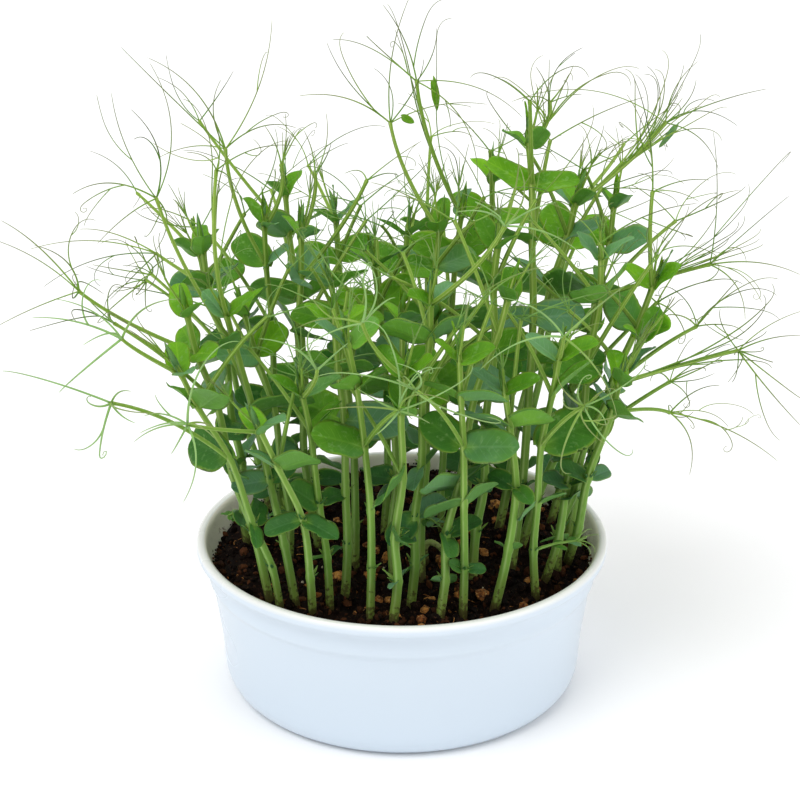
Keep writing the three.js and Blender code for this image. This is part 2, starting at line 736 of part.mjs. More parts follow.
function soilHeight(x, y) {
  const broad = Math.sin(0.13 * x + 1.1) * Math.cos(0.11 * y - 0.4);
  const bumps = SOIL_BUMP * (broad + 0.5 * Math.sin(0.31 * x - 0.27 * y));
  return SOIL_LEVEL + SOIL_RISE + SOIL_SLOPE * y + bumps;
}

function soilBlock() {
  const profile = [
    [0, SOIL_LEVEL],
    ...SOIL_RINGS.map((r) => [r, SOIL_LEVEL]),
    ...SOIL_SIDE,
    [0, SOIL_SIDE.at(-1)[1]],
  ];
  const geometry = latheUp(profile.reverse(), SOIL_SECTORS);
  const spots = geometry.attributes.position;
  for (let i = 0; i < spots.count; i += 1) {
    if (spots.getZ(i) > SOIL_LEVEL - 0.1) {
      spots.setZ(i, soilHeight(spots.getX(i), spots.getY(i)));
    }
  }
  return toSolid(geometry);
}

// Chips of bark lie half sunk between the stems.
function chipSolids(shoots) {
  const chips = [];
  const taken = shoots.map((shoot) => shoot.points[1]);
  for (let seed = 0; chips.length < CHIP_COUNT && seed < CHIP_TRIES; seed += 1) {
    const draw = random(9000 + seed);
    const radius = CHIP_AREA_RADIUS * Math.sqrt(draw());
    const angle = TURN * draw();
    const spot = V(radius * Math.cos(angle), radius * Math.sin(angle), SOIL_LEVEL);
    if (taken.some((other) => other.distanceTo(spot) < CHIP_SPACING)) continue;
    taken.push(spot);
    const chip = new THREE.OctahedronGeometry(1);
    chip.scale(...[0, 1, 2].map(() => CHIP_SIZE * between(draw, 0.7, 1.25)));
    chip.rotateX(between(draw, -0.6, 0.6));
    chip.rotateZ(TURN * draw());
    chip.translate(spot.x, spot.y, soilHeight(spot.x, spot.y));
    chips.push(toSolid(chip));
  }
  return chips;
}

// A plain hole that leaves a thin gap round the foot of a stem.
function holeSolid(path, radius) {
  const [root, foot] = path;
  const way = foot.clone().sub(root).normalize();
  const floor = root.clone().addScaledVector(way, -HOLE_CLEARANCE);
  const mouth = root.clone().addScaledVector(way, 2 * STEM_SINK);
  const skin = new Skin();
  const [low, high] = [floor, mouth].map((point) => (
    skin.ring(section(point, way, heading(0, 0), radius, STEM_SIDES, -STEM_STEP / 2))
  ));
  skin.close([...low].reverse());
  skin.band(low, high);
  skin.close(high);
  return toSolid(skin.geometry());
}

function soilGeometry(shoots, seedling) {
  const holes = shoots.map((shoot) => holeSolid(shoot.points, STEM_RADIUS + HOLE_CLEARANCE));
  holes.push(holeSolid(seedling.points, seedling.radii[0] + HOLE_CLEARANCE));
  const filled = chipSolids(shoots).reduce((whole, chip) => whole.add(chip), soilBlock());
  return toGeometry(holes.reduce((whole, hole) => whole.subtract(hole), filled));
}

// A late pale seedling, still bent over from breaking through the soil.
const SEEDLING = {
  points: [
    V(9, -7, 37), V(8.7, -7, 46.5), V(8.3, -7.1, 52),
    V(9.9, -7.3, 54.6), V(12.8, -7.7, 53.6), V(15.6, -8.1, 51),
  ],
  radii: [1.5, 1.45, 1.3, 1.3, 1.2, 0.8],
};

function seedlingGeometry({ points, radii }) {
  const skin = new Skin();
  let last = null;
  points.forEach((point, k) => {
    const front = points[Math.min(points.length - 1, k + 1)];
    const axis = front.clone().sub(points[Math.max(0, k - 1)]).normalize();
    const ring = skin.ring(section(point, axis, V(0, -1, 0), radii[k], STEM_SIDES, 0));
    if (last) skin.band(last, ring);
    else skin.close([...ring].reverse());
    last = ring;
  });
  skin.close(last);
  return skin.geometry();
}

// ---------------------------------------------------------------- the object

function part(name, geometry, color, roughness) {
  const material = new THREE.MeshStandardMaterial({ color, roughness, metalness: 0 });
  const mesh = new THREE.Mesh(geometry, material);
  mesh.name = name;
  return mesh;
}

const shoots = planShoots();
const tray = new THREE.Group();
tray.add(part('dish', dishGeometry(), 0xe4ebf4, 0.3));
tray.add(part('soil', soilGeometry(shoots, SEEDLING), 0x2e1f18, 0.95));
for (const shoot of shoots) {
  const name = `shoot_${String(shoot.index + 1).padStart(2, '0')}`;
  tray.add(part(name, shootGeometry(shoot), 0x4f8f3a, 0.5));
}
tray.add(part('late_seedling', seedlingGeometry(SEEDLING), 0xb9cf8a, 0.5));

export default tray;
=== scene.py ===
"""Pea shoots in a round white dish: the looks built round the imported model.

Lengths are in millimetres up to the point where a mesh is made, and +Z is up.
"""

import math

import bpy
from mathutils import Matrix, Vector


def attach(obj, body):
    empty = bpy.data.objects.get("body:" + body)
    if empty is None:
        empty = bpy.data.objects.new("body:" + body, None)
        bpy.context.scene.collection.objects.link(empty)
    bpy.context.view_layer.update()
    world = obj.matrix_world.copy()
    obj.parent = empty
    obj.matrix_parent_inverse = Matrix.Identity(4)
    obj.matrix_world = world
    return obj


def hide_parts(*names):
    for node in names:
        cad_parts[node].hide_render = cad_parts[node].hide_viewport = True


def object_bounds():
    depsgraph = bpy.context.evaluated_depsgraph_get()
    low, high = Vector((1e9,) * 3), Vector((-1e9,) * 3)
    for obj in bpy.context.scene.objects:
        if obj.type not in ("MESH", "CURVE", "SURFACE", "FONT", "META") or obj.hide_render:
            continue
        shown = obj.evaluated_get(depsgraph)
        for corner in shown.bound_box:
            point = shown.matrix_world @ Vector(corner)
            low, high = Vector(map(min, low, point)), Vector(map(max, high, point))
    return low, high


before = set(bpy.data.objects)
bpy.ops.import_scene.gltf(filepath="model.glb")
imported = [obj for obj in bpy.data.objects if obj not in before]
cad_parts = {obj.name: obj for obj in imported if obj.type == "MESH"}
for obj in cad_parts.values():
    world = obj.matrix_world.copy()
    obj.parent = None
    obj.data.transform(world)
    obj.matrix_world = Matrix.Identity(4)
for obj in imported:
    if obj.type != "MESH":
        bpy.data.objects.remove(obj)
cad_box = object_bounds()

MM = 0.001
TURN = 2 * math.pi

# ---------------------------------------------------------------- the model's dimensions

SOIL_LEVEL = 45
SOIL_RISE = 1.5
SOIL_SLOPE = 0.05
SOIL_BUMP = 1.3
CHIP_COUNT = 16
CHIP_TRIES = 400
CHIP_SIZE = 2.1
CHIP_SPACING = 6
CHIP_AREA_RADIUS = 58

STEM_SIDES = 5
SIDE_ANGLE = 360 / STEM_SIDES
STEM_STEP = TURN / STEM_SIDES
STEM_SINK = 9
STEM_RADIUS = 1.6
STEM_TIP_RADIUS = 1.0
BUD_LENGTH = 9
NODE_SHIFT = 0.8
NODE_GAPS = [13, 22, 28]
NODE_GAP_SHARES = [0.85, 1.15]
TURN_SHIFT = 22
BARE_NODES = [[0.58, 0.7], [0.26, 0.36]]
LEAFY_HEIGHTS = [88, 112]

STALK_RADIUS = 0.9
STALK_TIP_RADIUS = 0.65
TENDRIL_RADIUS = 0.45
TENDRIL_STEPS = 24
TENDRIL_PIECES = 3
PIECE_GAP = 0.35

# One row a shoot: foot x, y, then tip x, y, z, then the sway of its middle in x, y, then
# the compass angle in degrees of the leaf under the tip.
SHOOTS = [
    [-46, -36, -69, -46, 154, 0, 3, 190],
    [-42, -42, -70, -60, 139, 4, 0, 215],
    [-37, -38, -57, -40, 152, 1, 2, 110],
    [-31, -44, -45, -64, 121, 5, 0, 230],
    [-41, -9, -54, -10, 142, 4, 2, 150],
    [-31, 0, -35, 6, 165, -3, 0, 60],
    [-25, -40, -32, -54, 129, 1, 2, 300],
    [-20, -34, -22, -42, 149, 2, 0, 250],
    [-17, -14, -24, -12, 153, 3, 0, 80],
    [-11, -47, -17, -56, 147, 3, 0, 280],
    [-7, 9, -10, 20, 151, 3, 2, 100],
    [-3, -51, 1, -60, 138, 0, 2, 170],
    [3, -40, 9, -47, 158, 0, 0, 310],
    [-3, -26, 0, -21, 143, -1, 0, 20],
    [7, -20, 13, 4, 168, -1, 2, 130],
    [13, -48, 34, -42, 158, -4, 0, 330],
    [21, -45, 18, -62, 144, 1, 2, 260],
    [15, 14, 21, 18, 170, -2, 0, 110],
    [32, -41, 33, -54, 131, 5, 0, 240],
    [25, -24, 32, -16, 168, 1, 0, 200],
    [39, -16, 43, 2, 198, 4, 0, 70],
    [47, -33, 50, -54, 142, -3, 0, 290],
    [51, -21, 66, -22, 166, 3, 0, 320],
    [56, -15, 81, -22, 137, -6, 0, 340],
    [60, -8, 72, -36, 127, -1, -2, 320],
    [61, 4, 87, 0, 149, -3, 0, 20],
    [-45, 19, -48, 10, 168, 0, 2, 120],
    [43, 0, 69, 8, 143, 2, 2, 0],
    [-57, 4, -70, 12, 158, 2, 0, 170],
    [-33, 36, -44, 62, 166, 1, 0, 130],
    [-18, 54, -26, 84, 150, 0, 2, 110],
    [0, 40, 2, 58, 152, -2, 0, 80],
    [8, 60, 10, 90, 144, 1, 2, 95],
    [24, 38, 34, 60, 172, 2, 0, 60],
    [36, 16, 62, 26, 172, -2, 0, 40],
    [44, 40, 66, 70, 160, 0, 2, 50],
    [56, 22, 78, 44, 166, 1, 0, 30],
    [-50, 30, -76, 50, 146, 0, 2, 160],
]

# One row a long spray: its shoot, the node that its stalk leaves (0 at the tip), the star
# where the stalk splits, then the ends of its tendrils as x, y, z and sideways bow.
SPRAYS = [
    [0, 1, [-102, -52, 164], [-127, -60, 155, 1], [-129, -48, 180, 2], [-129, -36, 183, -3]],
    [1, 0, [-87, -66, 153], [-106, -72, 168, 3], [-116, -60, 158, 2], [-97, -78, 155, 4]],
    [2, 1, [-79, -32, 189], [-90, -40, 225, -3], [-108, -24, 188, -5], [-97, -44, 177, 5]],
    [2, 0, [-58, -44, 201], [-62, -40, 222, 3], [-32, -50, 210, 3], [-66, -54, 209, 2]],
    [3, 0, [-66, -80, 130], [-83, -80, 124, 2], [-67, -92, 109, 4], [-78, -88, 136, -2]],
    [5, 0, [-30, 10, 187], [-34, 16, 201, 1], [-24, 6, 199, 1], [-26, 12, 208, 2]],
    [5, 1, [-12, 0, 187], [7, 4, 200, 1], [-1, -14, 192, 2]],
    [6, 0, [-26, -78, 147], [-43, -86, 160, 3], [-16, -90, 160, 2]],
    [11, 0, [-12, -84, 164], [-31, -96, 159, 3], [-16, -90, 186, 3]],
    [12, 0, [31, -66, 189], [45, -80, 200, 2], [56, -72, 180, 3], [15, -84, 198, 3]],
    [14, 0, [-4, 8, 205], [-36, 14, 213, 4], [3, 4, 249, -3], [30, 20, 209, -3]],
    [17, 0, [5, 20, 217], [-7, 30, 242, 2], [43, 30, 202, 5], [26, 10, 182, 8]],
    [20, 0, [50, 8, 212], [58, 12, 224, 1], [62, 18, 213, 1], [44, -2, 226, 1]],
    [21, 0, [49, -76, 157], [66, -84, 176, 3], [66, -80, 132, 3], [28, -86, 173, 3]],
    [22, 0, [63, -40, 176], [92, -50, 192, 3], [68, -56, 156, 3], [42, -46, 192, 3]],
    [24, 0, [110, -40, 140], [129, -44, 155, 2], [132, -34, 143, 2], [130, -52, 118, -3]],
    [24, 1, [92, -22, 111], [129, -30, 96, 3], [102, -12, 83, 4]],
    [25, 0, [84, -8, 185], [101, -20, 192, 2], [73, -10, 219, 3], [102, 2, 179, -2]],
    [26, 0, [-42, 15, 189], [-48, 20, 202, 1], [-40, 12, 208, 1]],
    [26, 1, [-60, 4, 197], [-95, 10, 231, -2], [-42, -8, 243, 4], [-82, -6, 196, 3]],
    [27, 0, [108, 8, 155], [104, -2, 205, 2], [136, 16, 178, 4], [143, 18, 148, 3]],
    [28, 1, [-88, 22, 155], [-128, 12, 145, 5], [-136, 30, 154, 4], [-95, 16, 141, 5]],
    [34, 0, [95, 42, 198], [107, 50, 219, -3], [135, 60, 207, 2], [115, 40, 181, 4]],
    [30, 0, [-38, 112, 166], [-52, 132, 178, 3], [-22, 136, 170, 3]],
    [32, 0, [12, 120, 176], [2, 142, 190, 3], [30, 138, 172, 3]],
    [35, 0, [88, 98, 178], [108, 112, 190, 3], [84, 120, 168, 3]],
    [37, 0, [-102, 74, 164], [-122, 86, 178, 3], [-108, 96, 152, 3]],
    [29, 1, [-78, 84, 190], [-96, 100, 204, 3], [-66, 104, 206, 2]],
]

# What is added to a shoot's own seed for the pieces of the plan.
SHOOT_SEED = 1000
BLADE_SEED = 100
SPRAY_SEED = 300
SPRAY_TENDRIL_SEED = 400
STALK_SEED = 600
TENDRIL_SEED = 700

# ---------------------------------------------------------------- small tools

UP = (0.0, 0.0, 1.0)
rad = math.radians


def plus(a, b, share=1.0):
    return (a[0] + b[0] * share, a[1] + b[1] * share, a[2] + b[2] * share)


def minus(a, b):
    return (a[0] - b[0], a[1] - b[1], a[2] - b[2])


def times(a, number):
    return (a[0] * number, a[1] * number, a[2] * number)


def dot(a, b):
    return a[0] * b[0] + a[1] * b[1] + a[2] * b[2]


def cross(a, b):
    return (a[1] * b[2] - a[2] * b[1], a[2] * b[0] - a[0] * b[2], a[0] * b[1] - a[1] * b[0])


def unit(a):
    return times(a, 1 / math.sqrt(dot(a, a)))


def mix(a, b, share):
    return plus(a, minus(b, a), share)


def swing(first, second, angle):
    """The way at `angle` from `first` towards `second`."""
    return plus(times(first, math.cos(angle)), second, math.sin(angle))


def polar(radius, angle, z):
    return (radius * math.cos(angle), radius * math.sin(angle), z)


def random(seed):
    """A seeded draw between 0 and 1. The seed of each comes from its shoot, node and piece."""
    mask = 0xFFFFFFFF
    state = seed & mask

    def draw():
        nonlocal state
        state = (state + 0x6D2B79F5) & mask
        mixed = (state ^ (state >> 15)) * (1 | state) & mask
        mixed ^= (mixed + ((mixed ^ (mixed >> 7)) * (61 | mixed) & mask)) & mask
        return (mixed ^ (mixed >> 14)) / 2**32

    return draw


def between(draw, low, high):
    return low + (high - low) * draw()


def pick(draw, sizes, *names):
    """A draw from each of the named ranges in turn."""
    return [between(draw, *sizes[name]) for name in names]


def own_draw(index, seed):
    """The random draw of one piece of a shoot's plan."""
    return random(SHOOT_SEED * index + seed)


def heading(azimuth, elevation):
    flat = math.cos(rad(elevation))
    return (math.cos(rad(azimuth)) * flat, math.sin(rad(azimuth)) * flat, math.sin(rad(elevation)))


def square_to(axis, wish):
    """The direction nearest to `wish` that is square to `axis`."""
    return unit(plus(wish, axis, -dot(wish, axis)))


def beads(points, step):
    """Points no more than `step` apart along a polyline."""
    out = [points[0]]
    for back, front in zip(points, points[1:]):
        count = math.ceil(math.dist(back, front) / step)
        out += [mix(back, front, k / count) for k in range(1, count + 1)]
    return out


# ---------------------------------------------------------------- keeping pieces clear

CELL = 6
START_REACH = 6
OWN_SHARE = 0.5


class Clearance:
    """Holds the balls that stand for what is already placed, each with its owner."""

    def __init__(self):
        self.cells = {}

    def add(self, points, radius, owner):
        for point in points:
            key = tuple(math.floor(value / CELL) for value in point)
            self.cells.setdefault(key, []).append((point, radius, owner))

    def is_free(self, points, radius, owner, start):
        """Pieces of one owner may touch close to `start`, where the new one grows."""
        return all(
            self.point_is_free(point, radius, owner, math.dist(point, start) < START_REACH)
            for point in points
        )

    def point_is_free(self, point, radius, owner, near):
        i, j, k = (math.floor(value / CELL) for value in point)
        for x in (i - 1, i, i + 1):
            for y in (j - 1, j, j + 1):
                for z in (k - 1, k, k + 1):
                    for ball, ball_radius, ball_owner in self.cells.get((x, y, z), ()):
                        own = ball_owner == owner
                        if own and near:
                            continue
                        reach = ball_radius + radius * (OWN_SHARE if own else 1) + PIECE_GAP
                        if math.dist(ball, point) < reach:
                            return False
        return True


# ---------------------------------------------------------------- the plan of the shoots


def stem_radius(z, height):
    t = max(0, (z - SOIL_LEVEL) / height)
    return STEM_RADIUS + (STEM_TIP_RADIUS - STEM_RADIUS) * t


def plan_stem(index, row):
    foot_x, foot_y, tip_x, tip_y, tip_z, sway_x, sway_y, turn = row
    draw = own_draw(index, 1)
    height = tip_z - SOIL_LEVEL
    leafy = 2 + sum(height > limit for limit in LEAFY_HEIGHTS)
    levels = [tip_z]
    for k in range(1, leafy):
        levels.append(levels[k - 1] - NODE_GAPS[k - 1] * between(draw, *NODE_GAP_SHARES))
    bare = levels[leafy - 1] - SOIL_LEVEL
    levels += [SOIL_LEVEL + bare * between(draw, *span) for span in BARE_NODES]

    def at(z, shift):
        t = (z - SOIL_LEVEL) / height
        bow = 4 * t * (1 - t)
        x = foot_x + (tip_x - foot_x) * t + sway_x * bow
        y = foot_y + (tip_y - foot_y) * t + sway_y * bow
        return (x + shift * math.cos(rad(turn)), y + shift * math.sin(rad(turn)), z)

    nodes = [
        at(z, 0 if k == 0 else NODE_SHIFT * (1 if k % 2 else -1)) for k, z in enumerate(levels)
    ]
    lean = unit(minus(nodes[0], nodes[1]))
    bud = plus(nodes[0], lean, BUD_LENGTH)
    points = [at(SOIL_LEVEL - STEM_SINK, 0), at(SOIL_LEVEL, 0), *nodes[::-1], bud]
    draw = own_draw(index, 2)
    turns = [
        turn + 180 * rank + between(draw, -TURN_SHIFT, TURN_SHIFT) for rank in range(len(nodes))
    ]
    return {
        "index": index,
        "leafy": leafy,
        "height": height,
        "nodes": nodes,
        "points": points,
        "turns": turns,
        "stalks": [],
        "blades": [],
    }


def bowed(start, end, bow, pieces):
    """A gentle bow from one point to another."""
    shares = [k / pieces for k in range(pieces + 1)]
    return [plus(mix(start, end, u), bow, 4 * u * (1 - u)) for u in shares]


CURL_START = 0.62


def curled(start, ahead, side, length, bend, curl, steps=TENDRIL_STEPS):
    """A thread that bends steadily to one side and then curls."""
    points = [start]
    for k in range(steps):
        u = (k + 0.5) / steps
        tail = max(0, (u - CURL_START) / (1 - CURL_START))
        angle = rad(bend * u + curl * tail * tail)
        points.append(plus(points[k], swing(ahead, side, angle), length / steps))
    return points


def chords_of(points):
    return points[:: TENDRIL_STEPS // TENDRIL_PIECES]


def blade_point(blade, along, across, off):
    """A point on a blade: `along` from 0 at its root to 1 at its tip, `across` from -1 to 1
    of half its width, `off` the distance from its middle surface."""
    half = blade["width"] / 2
    sink = blade["length"] * blade["droop"] * along * along
    rise = half * blade["fold"] * abs(across) - sink
    spot = plus(blade["root"], blade["ahead"], blade["length"] * along)
    spot = plus(spot, blade["side"], half * across)
    return plus(spot, blade["face"], rise + off)


SHOULDER = 0.28
TAPER = 0.72
TAPER_WIDTH = 0.82


def half_width(along):
    """Half the width of a solid blade, in parts of its greatest half width."""
    if along < SHOULDER:
        return along / SHOULDER
    if along < TAPER:
        return 1 + (TAPER_WIDTH - 1) * (along - SHOULDER) / (TAPER - SHOULDER)
    return TAPER_WIDTH * (1 - along) / (1 - TAPER)


def blade_of(root, ahead, face, length, width, fold, droop):
    """A blade from its root. `ahead` and `face`, the way it goes and the way its upper side
    looks, are square to one another."""
    return {
        "root": root,
        "ahead": ahead,
        "side": cross(face, ahead),
        "face": face,
        "length": length,
        "width": width,
        "fold": fold,
        "droop": droop,
    }


BLADE_BEAD = 2.4


def blade_beads(blade):
    out = []
    rows = math.ceil(blade["length"] / BLADE_BEAD)
    for i in range(1, rows + 1):
        half = half_width(i / rows)
        columns = math.ceil(half * blade["width"] / BLADE_BEAD)
        for j in range(columns + 1):
            across = half * (2 * j / columns - 1) if columns else 0
            out.append(blade_point(blade, i / rows, across, 0))
    return out


# The blades at a node, by its rank below the tip. The tilt turns their upper faces from
# straight up towards the node's leaf. It ends where elevation and tilt together would bring
# the inner edge to the stem.
BLADE_SIZES = [
    dict(length=[12, 15], width=[7, 9], elevation=[30, 50], tilt=[5, 30], fold=0.35),
    dict(length=[15, 18], width=[10.5, 13], elevation=[15, 40], tilt=[20, 50], fold=0.25),
    dict(length=[17, 21], width=[12.5, 15], elevation=[0, 34], tilt=[25, 62], fold=0.2),
    dict(length=[13, 17], width=[9.5, 12], elevation=[-5, 30], tilt=[25, 62], fold=0.2),
]
BLADE_TRIES = 16
BLADE_SPREAD = [80, 102]
BLADE_ROOM = 78
BLADE_FOLD = [0.6, 1.4]
BLADE_DROOP = 0.22
# Each further try may turn a blade this much more, in degrees, and shrinks it by this share.
TRY_TURN = 1.4
TRY_SHRINK = 0.025
BEAD_RADIUS = 1.5


def make_blade(shoot, rank, hand, attempt):
    draw = own_draw(shoot["index"], BLADE_SEED + 40 * rank + 20 * hand + attempt)
    size = BLADE_SIZES[rank]
    loose = attempt * TRY_TURN
    sign = 1 if hand else -1
    spread = between(draw, *BLADE_SPREAD) + between(draw, -loose / 3, loose)
    azimuth = shoot["turns"][rank] + spread * sign
    low, high = size["elevation"]
    elevation = between(draw, low - loose / 2, high + loose / 3)
    shrink = 1 - TRY_SHRINK * attempt
    ahead = heading(azimuth, elevation)
    tilt = rad(min(between(draw, *size["tilt"]), BLADE_ROOM - elevation))
    toward = times(heading(shoot["turns"][rank], 0), math.sin(tilt))
    face = square_to(ahead, plus(toward, UP, math.cos(tilt)))
    node = shoot["nodes"][rank]
    out = heading(shoot["turns"][rank] + SIDE_ANGLE * sign, 0)
    flank = stem_radius(node[2], shoot["height"]) * math.cos(STEM_STEP / 2)
    length = between(draw, *size["length"]) * shrink
    width = between(draw, *size["width"]) * shrink
    fold = size["fold"] * between(draw, *BLADE_FOLD)
    droop = between(draw, 0, BLADE_DROOP)
    blade = blade_of(plus(node, out, flank), ahead, face, length, width, fold, droop)
    return {**blade, "rank": rank}


def place_blades(shoots, field, rank):
    for shoot in shoots:
        if rank >= shoot["leafy"]:
            continue
        for hand in (0, 1):
            for attempt in range(BLADE_TRIES):
                blade = make_blade(shoot, rank, hand, attempt)
                balls = blade_beads(blade)
                if field.is_free(balls, BEAD_RADIUS, shoot["index"], blade["root"]):
                    field.add(balls, BEAD_RADIUS, shoot["index"])
                    shoot["blades"].append(blade)
                    break


STALK_PIECES = 2
STALK_TRIES = 12
TENDRIL_TRIES = 10
BEAD_STEP = 1.5


def place_stalk(shoot, field, rank, seed, propose):
    for attempt in range(STALK_TRIES):
        end, bow = propose(own_draw(shoot["index"], seed + attempt), attempt)
        points = bowed(shoot["nodes"][rank], end, bow, STALK_PIECES)
        balls = beads(points, BEAD_STEP)
        if field.is_free(balls, STALK_RADIUS, shoot["index"], points[0]):
            field.add(balls, STALK_RADIUS, shoot["index"])
            stalk = {"rank": rank, "points": points, "bow": bow, "tendrils": []}
            shoot["stalks"].append(stalk)
            return stalk
    return None


def place_tendril(shoot, field, stalk, seed, propose):
    for attempt in range(TENDRIL_TRIES):
        points = propose(own_draw(shoot["index"], seed + attempt), attempt)
        balls = beads(chords_of(points), BEAD_STEP)
        if field.is_free(balls, TENDRIL_RADIUS, shoot["index"], points[0]):
            field.add(balls, TENDRIL_RADIUS, shoot["index"])
            stalk["tendrils"].append(points)
            return


SPRAY_SIZES = dict(turn=[-15, 15], elevation=[0, 30])
SPRAY_BOW = 3


def place_sprays(shoots, field):
    """The long sprays whose stars and tendril ends are set."""
    for index, rank, star, *ends in SPRAYS:
        shoot = shoots[index]
        goal = tuple(star)
        across = minus(goal, shoot["nodes"][rank])
        shoot["turns"][rank] = math.degrees(math.atan2(across[1], across[0]))

        def lift(draw, attempt):
            azimuth = shoot["turns"][rank] + between(draw, *SPRAY_SIZES["turn"])
            way = heading(azimuth, between(draw, *SPRAY_SIZES["elevation"]))
            return goal, times(way, SPRAY_BOW + attempt)

        stalk = place_stalk(shoot, field, rank, SPRAY_SEED + 20 * rank, lift)
        if not stalk:
            continue
        for k, (x, y, z, bow) in enumerate(ends):
            end = (x, y, z)
            side = square_to(unit(minus(end, goal)), (1 if bow > 0 else -1, 0, 1))

            def reach(draw, attempt):
                loose = tuple(between(draw, -1, 1) for _ in range(3))
                return bowed(goal, end, plus(times(side, abs(bow)), loose, attempt), TENDRIL_STEPS)

            place_tendril(shoot, field, stalk, SPRAY_TENDRIL_SEED + 40 * rank + 12 * k, reach)


STALK_RANKS = [1, 2]
STALK_LENGTHS = [22, 34, 44, 36]
LEAF_SIZES = dict(reach=[0.85, 1.2], elevation=[35, 65], bow=[0.02, 0.07])
TENDRIL_SIZES = dict(
    spread=[25, 60], rise=[-1, 0.6], length=[24, 40], bend=[10, 55], curl=[0, 90]
)
# Each further try may turn a stalk this much more, in degrees, and shrinks it or a tendril
# by these shares.
STALK_TURN = 6
STALK_SHRINK = 0.03
TENDRIL_SHRINK = 0.05


def place_leaves(shoots, field, rank):
    """The other leaf stalks follow the stem's two ranks of leaves, each with two tendrils."""
    for shoot in shoots:
        if rank >= shoot["leafy"] or any(s["rank"] == rank for s in shoot["stalks"]):
            continue
        node = shoot["nodes"][rank]

        def lift(draw, attempt):
            loose = STALK_TURN * attempt
            azimuth = shoot["turns"][rank] + between(draw, -loose, loose)
            shrink = 1 - STALK_SHRINK * attempt
            reach = STALK_LENGTHS[rank] * between(draw, *LEAF_SIZES["reach"]) * shrink
            way = heading(azimuth, between(draw, *LEAF_SIZES["elevation"]))
            return plus(node, way, reach), times(UP, between(draw, *LEAF_SIZES["bow"]) * reach)

        stalk = place_stalk(shoot, field, rank, STALK_SEED + 20 * rank, lift)
        if not stalk:
            continue
        root, middle, star = stalk["points"]
        shoot["turns"][rank] = math.degrees(math.atan2(middle[1] - root[1], middle[0] - root[0]))
        ahead = unit(minus(star, middle))
        level = unit(cross(ahead, UP))
        for hand in (0, 1):

            def sprout(draw, attempt):
                spread = rad(between(draw, *TENDRIL_SIZES["spread"]))
                way = swing(ahead, level, spread if hand else -spread)
                spin = between(draw, 0, TURN)
                wish = polar(1, spin, between(draw, *TENDRIL_SIZES["rise"]))
                length, bend, curl = pick(draw, TENDRIL_SIZES, "length", "bend", "curl")
                length *= 1 - TENDRIL_SHRINK * attempt
                return curled(star, way, square_to(way, wish), length, bend, curl)

            place_tendril(shoot, field, stalk, TENDRIL_SEED + 40 * rank + 12 * hand, sprout)


def plan_shoots():
    field = Clearance()
    shoots = [plan_stem(index, row) for index, row in enumerate(SHOOTS)]
    for shoot in shoots:
        field.add(beads(shoot["points"], BEAD_STEP), STEM_RADIUS, shoot["index"])
    place_sprays(shoots, field)
    for rank in range(len(BLADE_SIZES)):
        if rank in STALK_RANKS:
            place_leaves(shoots, field, rank)
        place_blades(shoots, field, rank)
    return shoots, field


# ---------------------------------------------------------------- meshes

# The materials of a plant, by their slot on its mesh.
STEM, LEAF, THREAD = 0, 1, 2


class Skins:
    """The closed skins of one piece. Each point holds its place on its skin: across, along
    and tone, which the materials read."""

    def __init__(self):
        self.points = []
        self.places = []
        self.faces = []
        self.slots = []
        self.smooth = []

    def add(self, points, places):
        first = len(self.points)
        self.points += points
        self.places += places
        return range(first, first + len(points))

    def skin(self, rings, places, slot, end, start=None):
        """A skin through rings of equally many points. `end` and `start` are the points, each
        with its place, that close it. Without a start it is closed flat there."""
        rings = [self.add(ring, spots) for ring, spots in zip(rings, places)]
        count = len(rings[0])
        for lower, upper in zip(rings, rings[1:]):
            for s in range(count):
                t = (s + 1) % count
                self.face((lower[s], lower[t], upper[t], upper[s]), slot)
        for ring, tip, turned in ((rings[0], start, True), (rings[-1], end, False)):
            if not tip:
                self.face(tuple(ring)[::-1], slot)
                continue
            (top,) = self.add([tip[0]], [tip[1]])
            for s in range(count):
                edge = (ring[s], ring[(s + 1) % count])
                self.face((*(edge[::-1] if turned else edge), top), slot)

    def face(self, corners, slot, smooth=True):
        self.faces.append(corners)
        self.slots.append(slot)
        self.smooth.append(smooth)

    def piece(self, name, materials):
        mesh = bpy.data.meshes.new(name)
        mesh.from_pydata([times(point, MM) for point in self.points], [], self.faces)
        mesh.polygons.foreach_set("material_index", self.slots)
        mesh.polygons.foreach_set("use_smooth", self.smooth)
        places = mesh.attributes.new("place", "FLOAT_VECTOR", "POINT")
        places.data.foreach_set("vector", [value for place in self.places for value in place])
        for material in materials:
            mesh.materials.append(material)
        piece = bpy.data.objects.new(name, mesh)
        bpy.context.scene.collection.objects.link(piece)
        return piece


def smooth(points, step):
    """A smooth curve through the points, sampled about every `step`, and the sample number
    of each of the points."""
    gaps = [math.dist(a, b) for a, b in zip(points, points[1:])]
    slopes = []
    for k in range(len(points)):
        back, front = max(0, k - 1), min(len(points) - 1, k + 1)
        slopes.append(times(minus(points[front], points[back]), 1 / sum(gaps[back:front])))
    out, marks = [points[0]], [0]
    for k, gap in enumerate(gaps):
        count = math.ceil(gap / step)
        for i in range(1, count + 1):
            u = i / count
            spot = times(points[k], (1 + 2 * u) * (1 - u) ** 2)
            spot = plus(spot, points[k + 1], u * u * (3 - 2 * u))
            spot = plus(spot, slopes[k], gap * u * (1 - u) ** 2)
            out.append(plus(spot, slopes[k + 1], -gap * u * u * (1 - u)))
        marks.append(len(out) - 1)
    return out, marks


RIDGES = 4
TUBE_SIDE = (0.31, 0.95, 0.11)


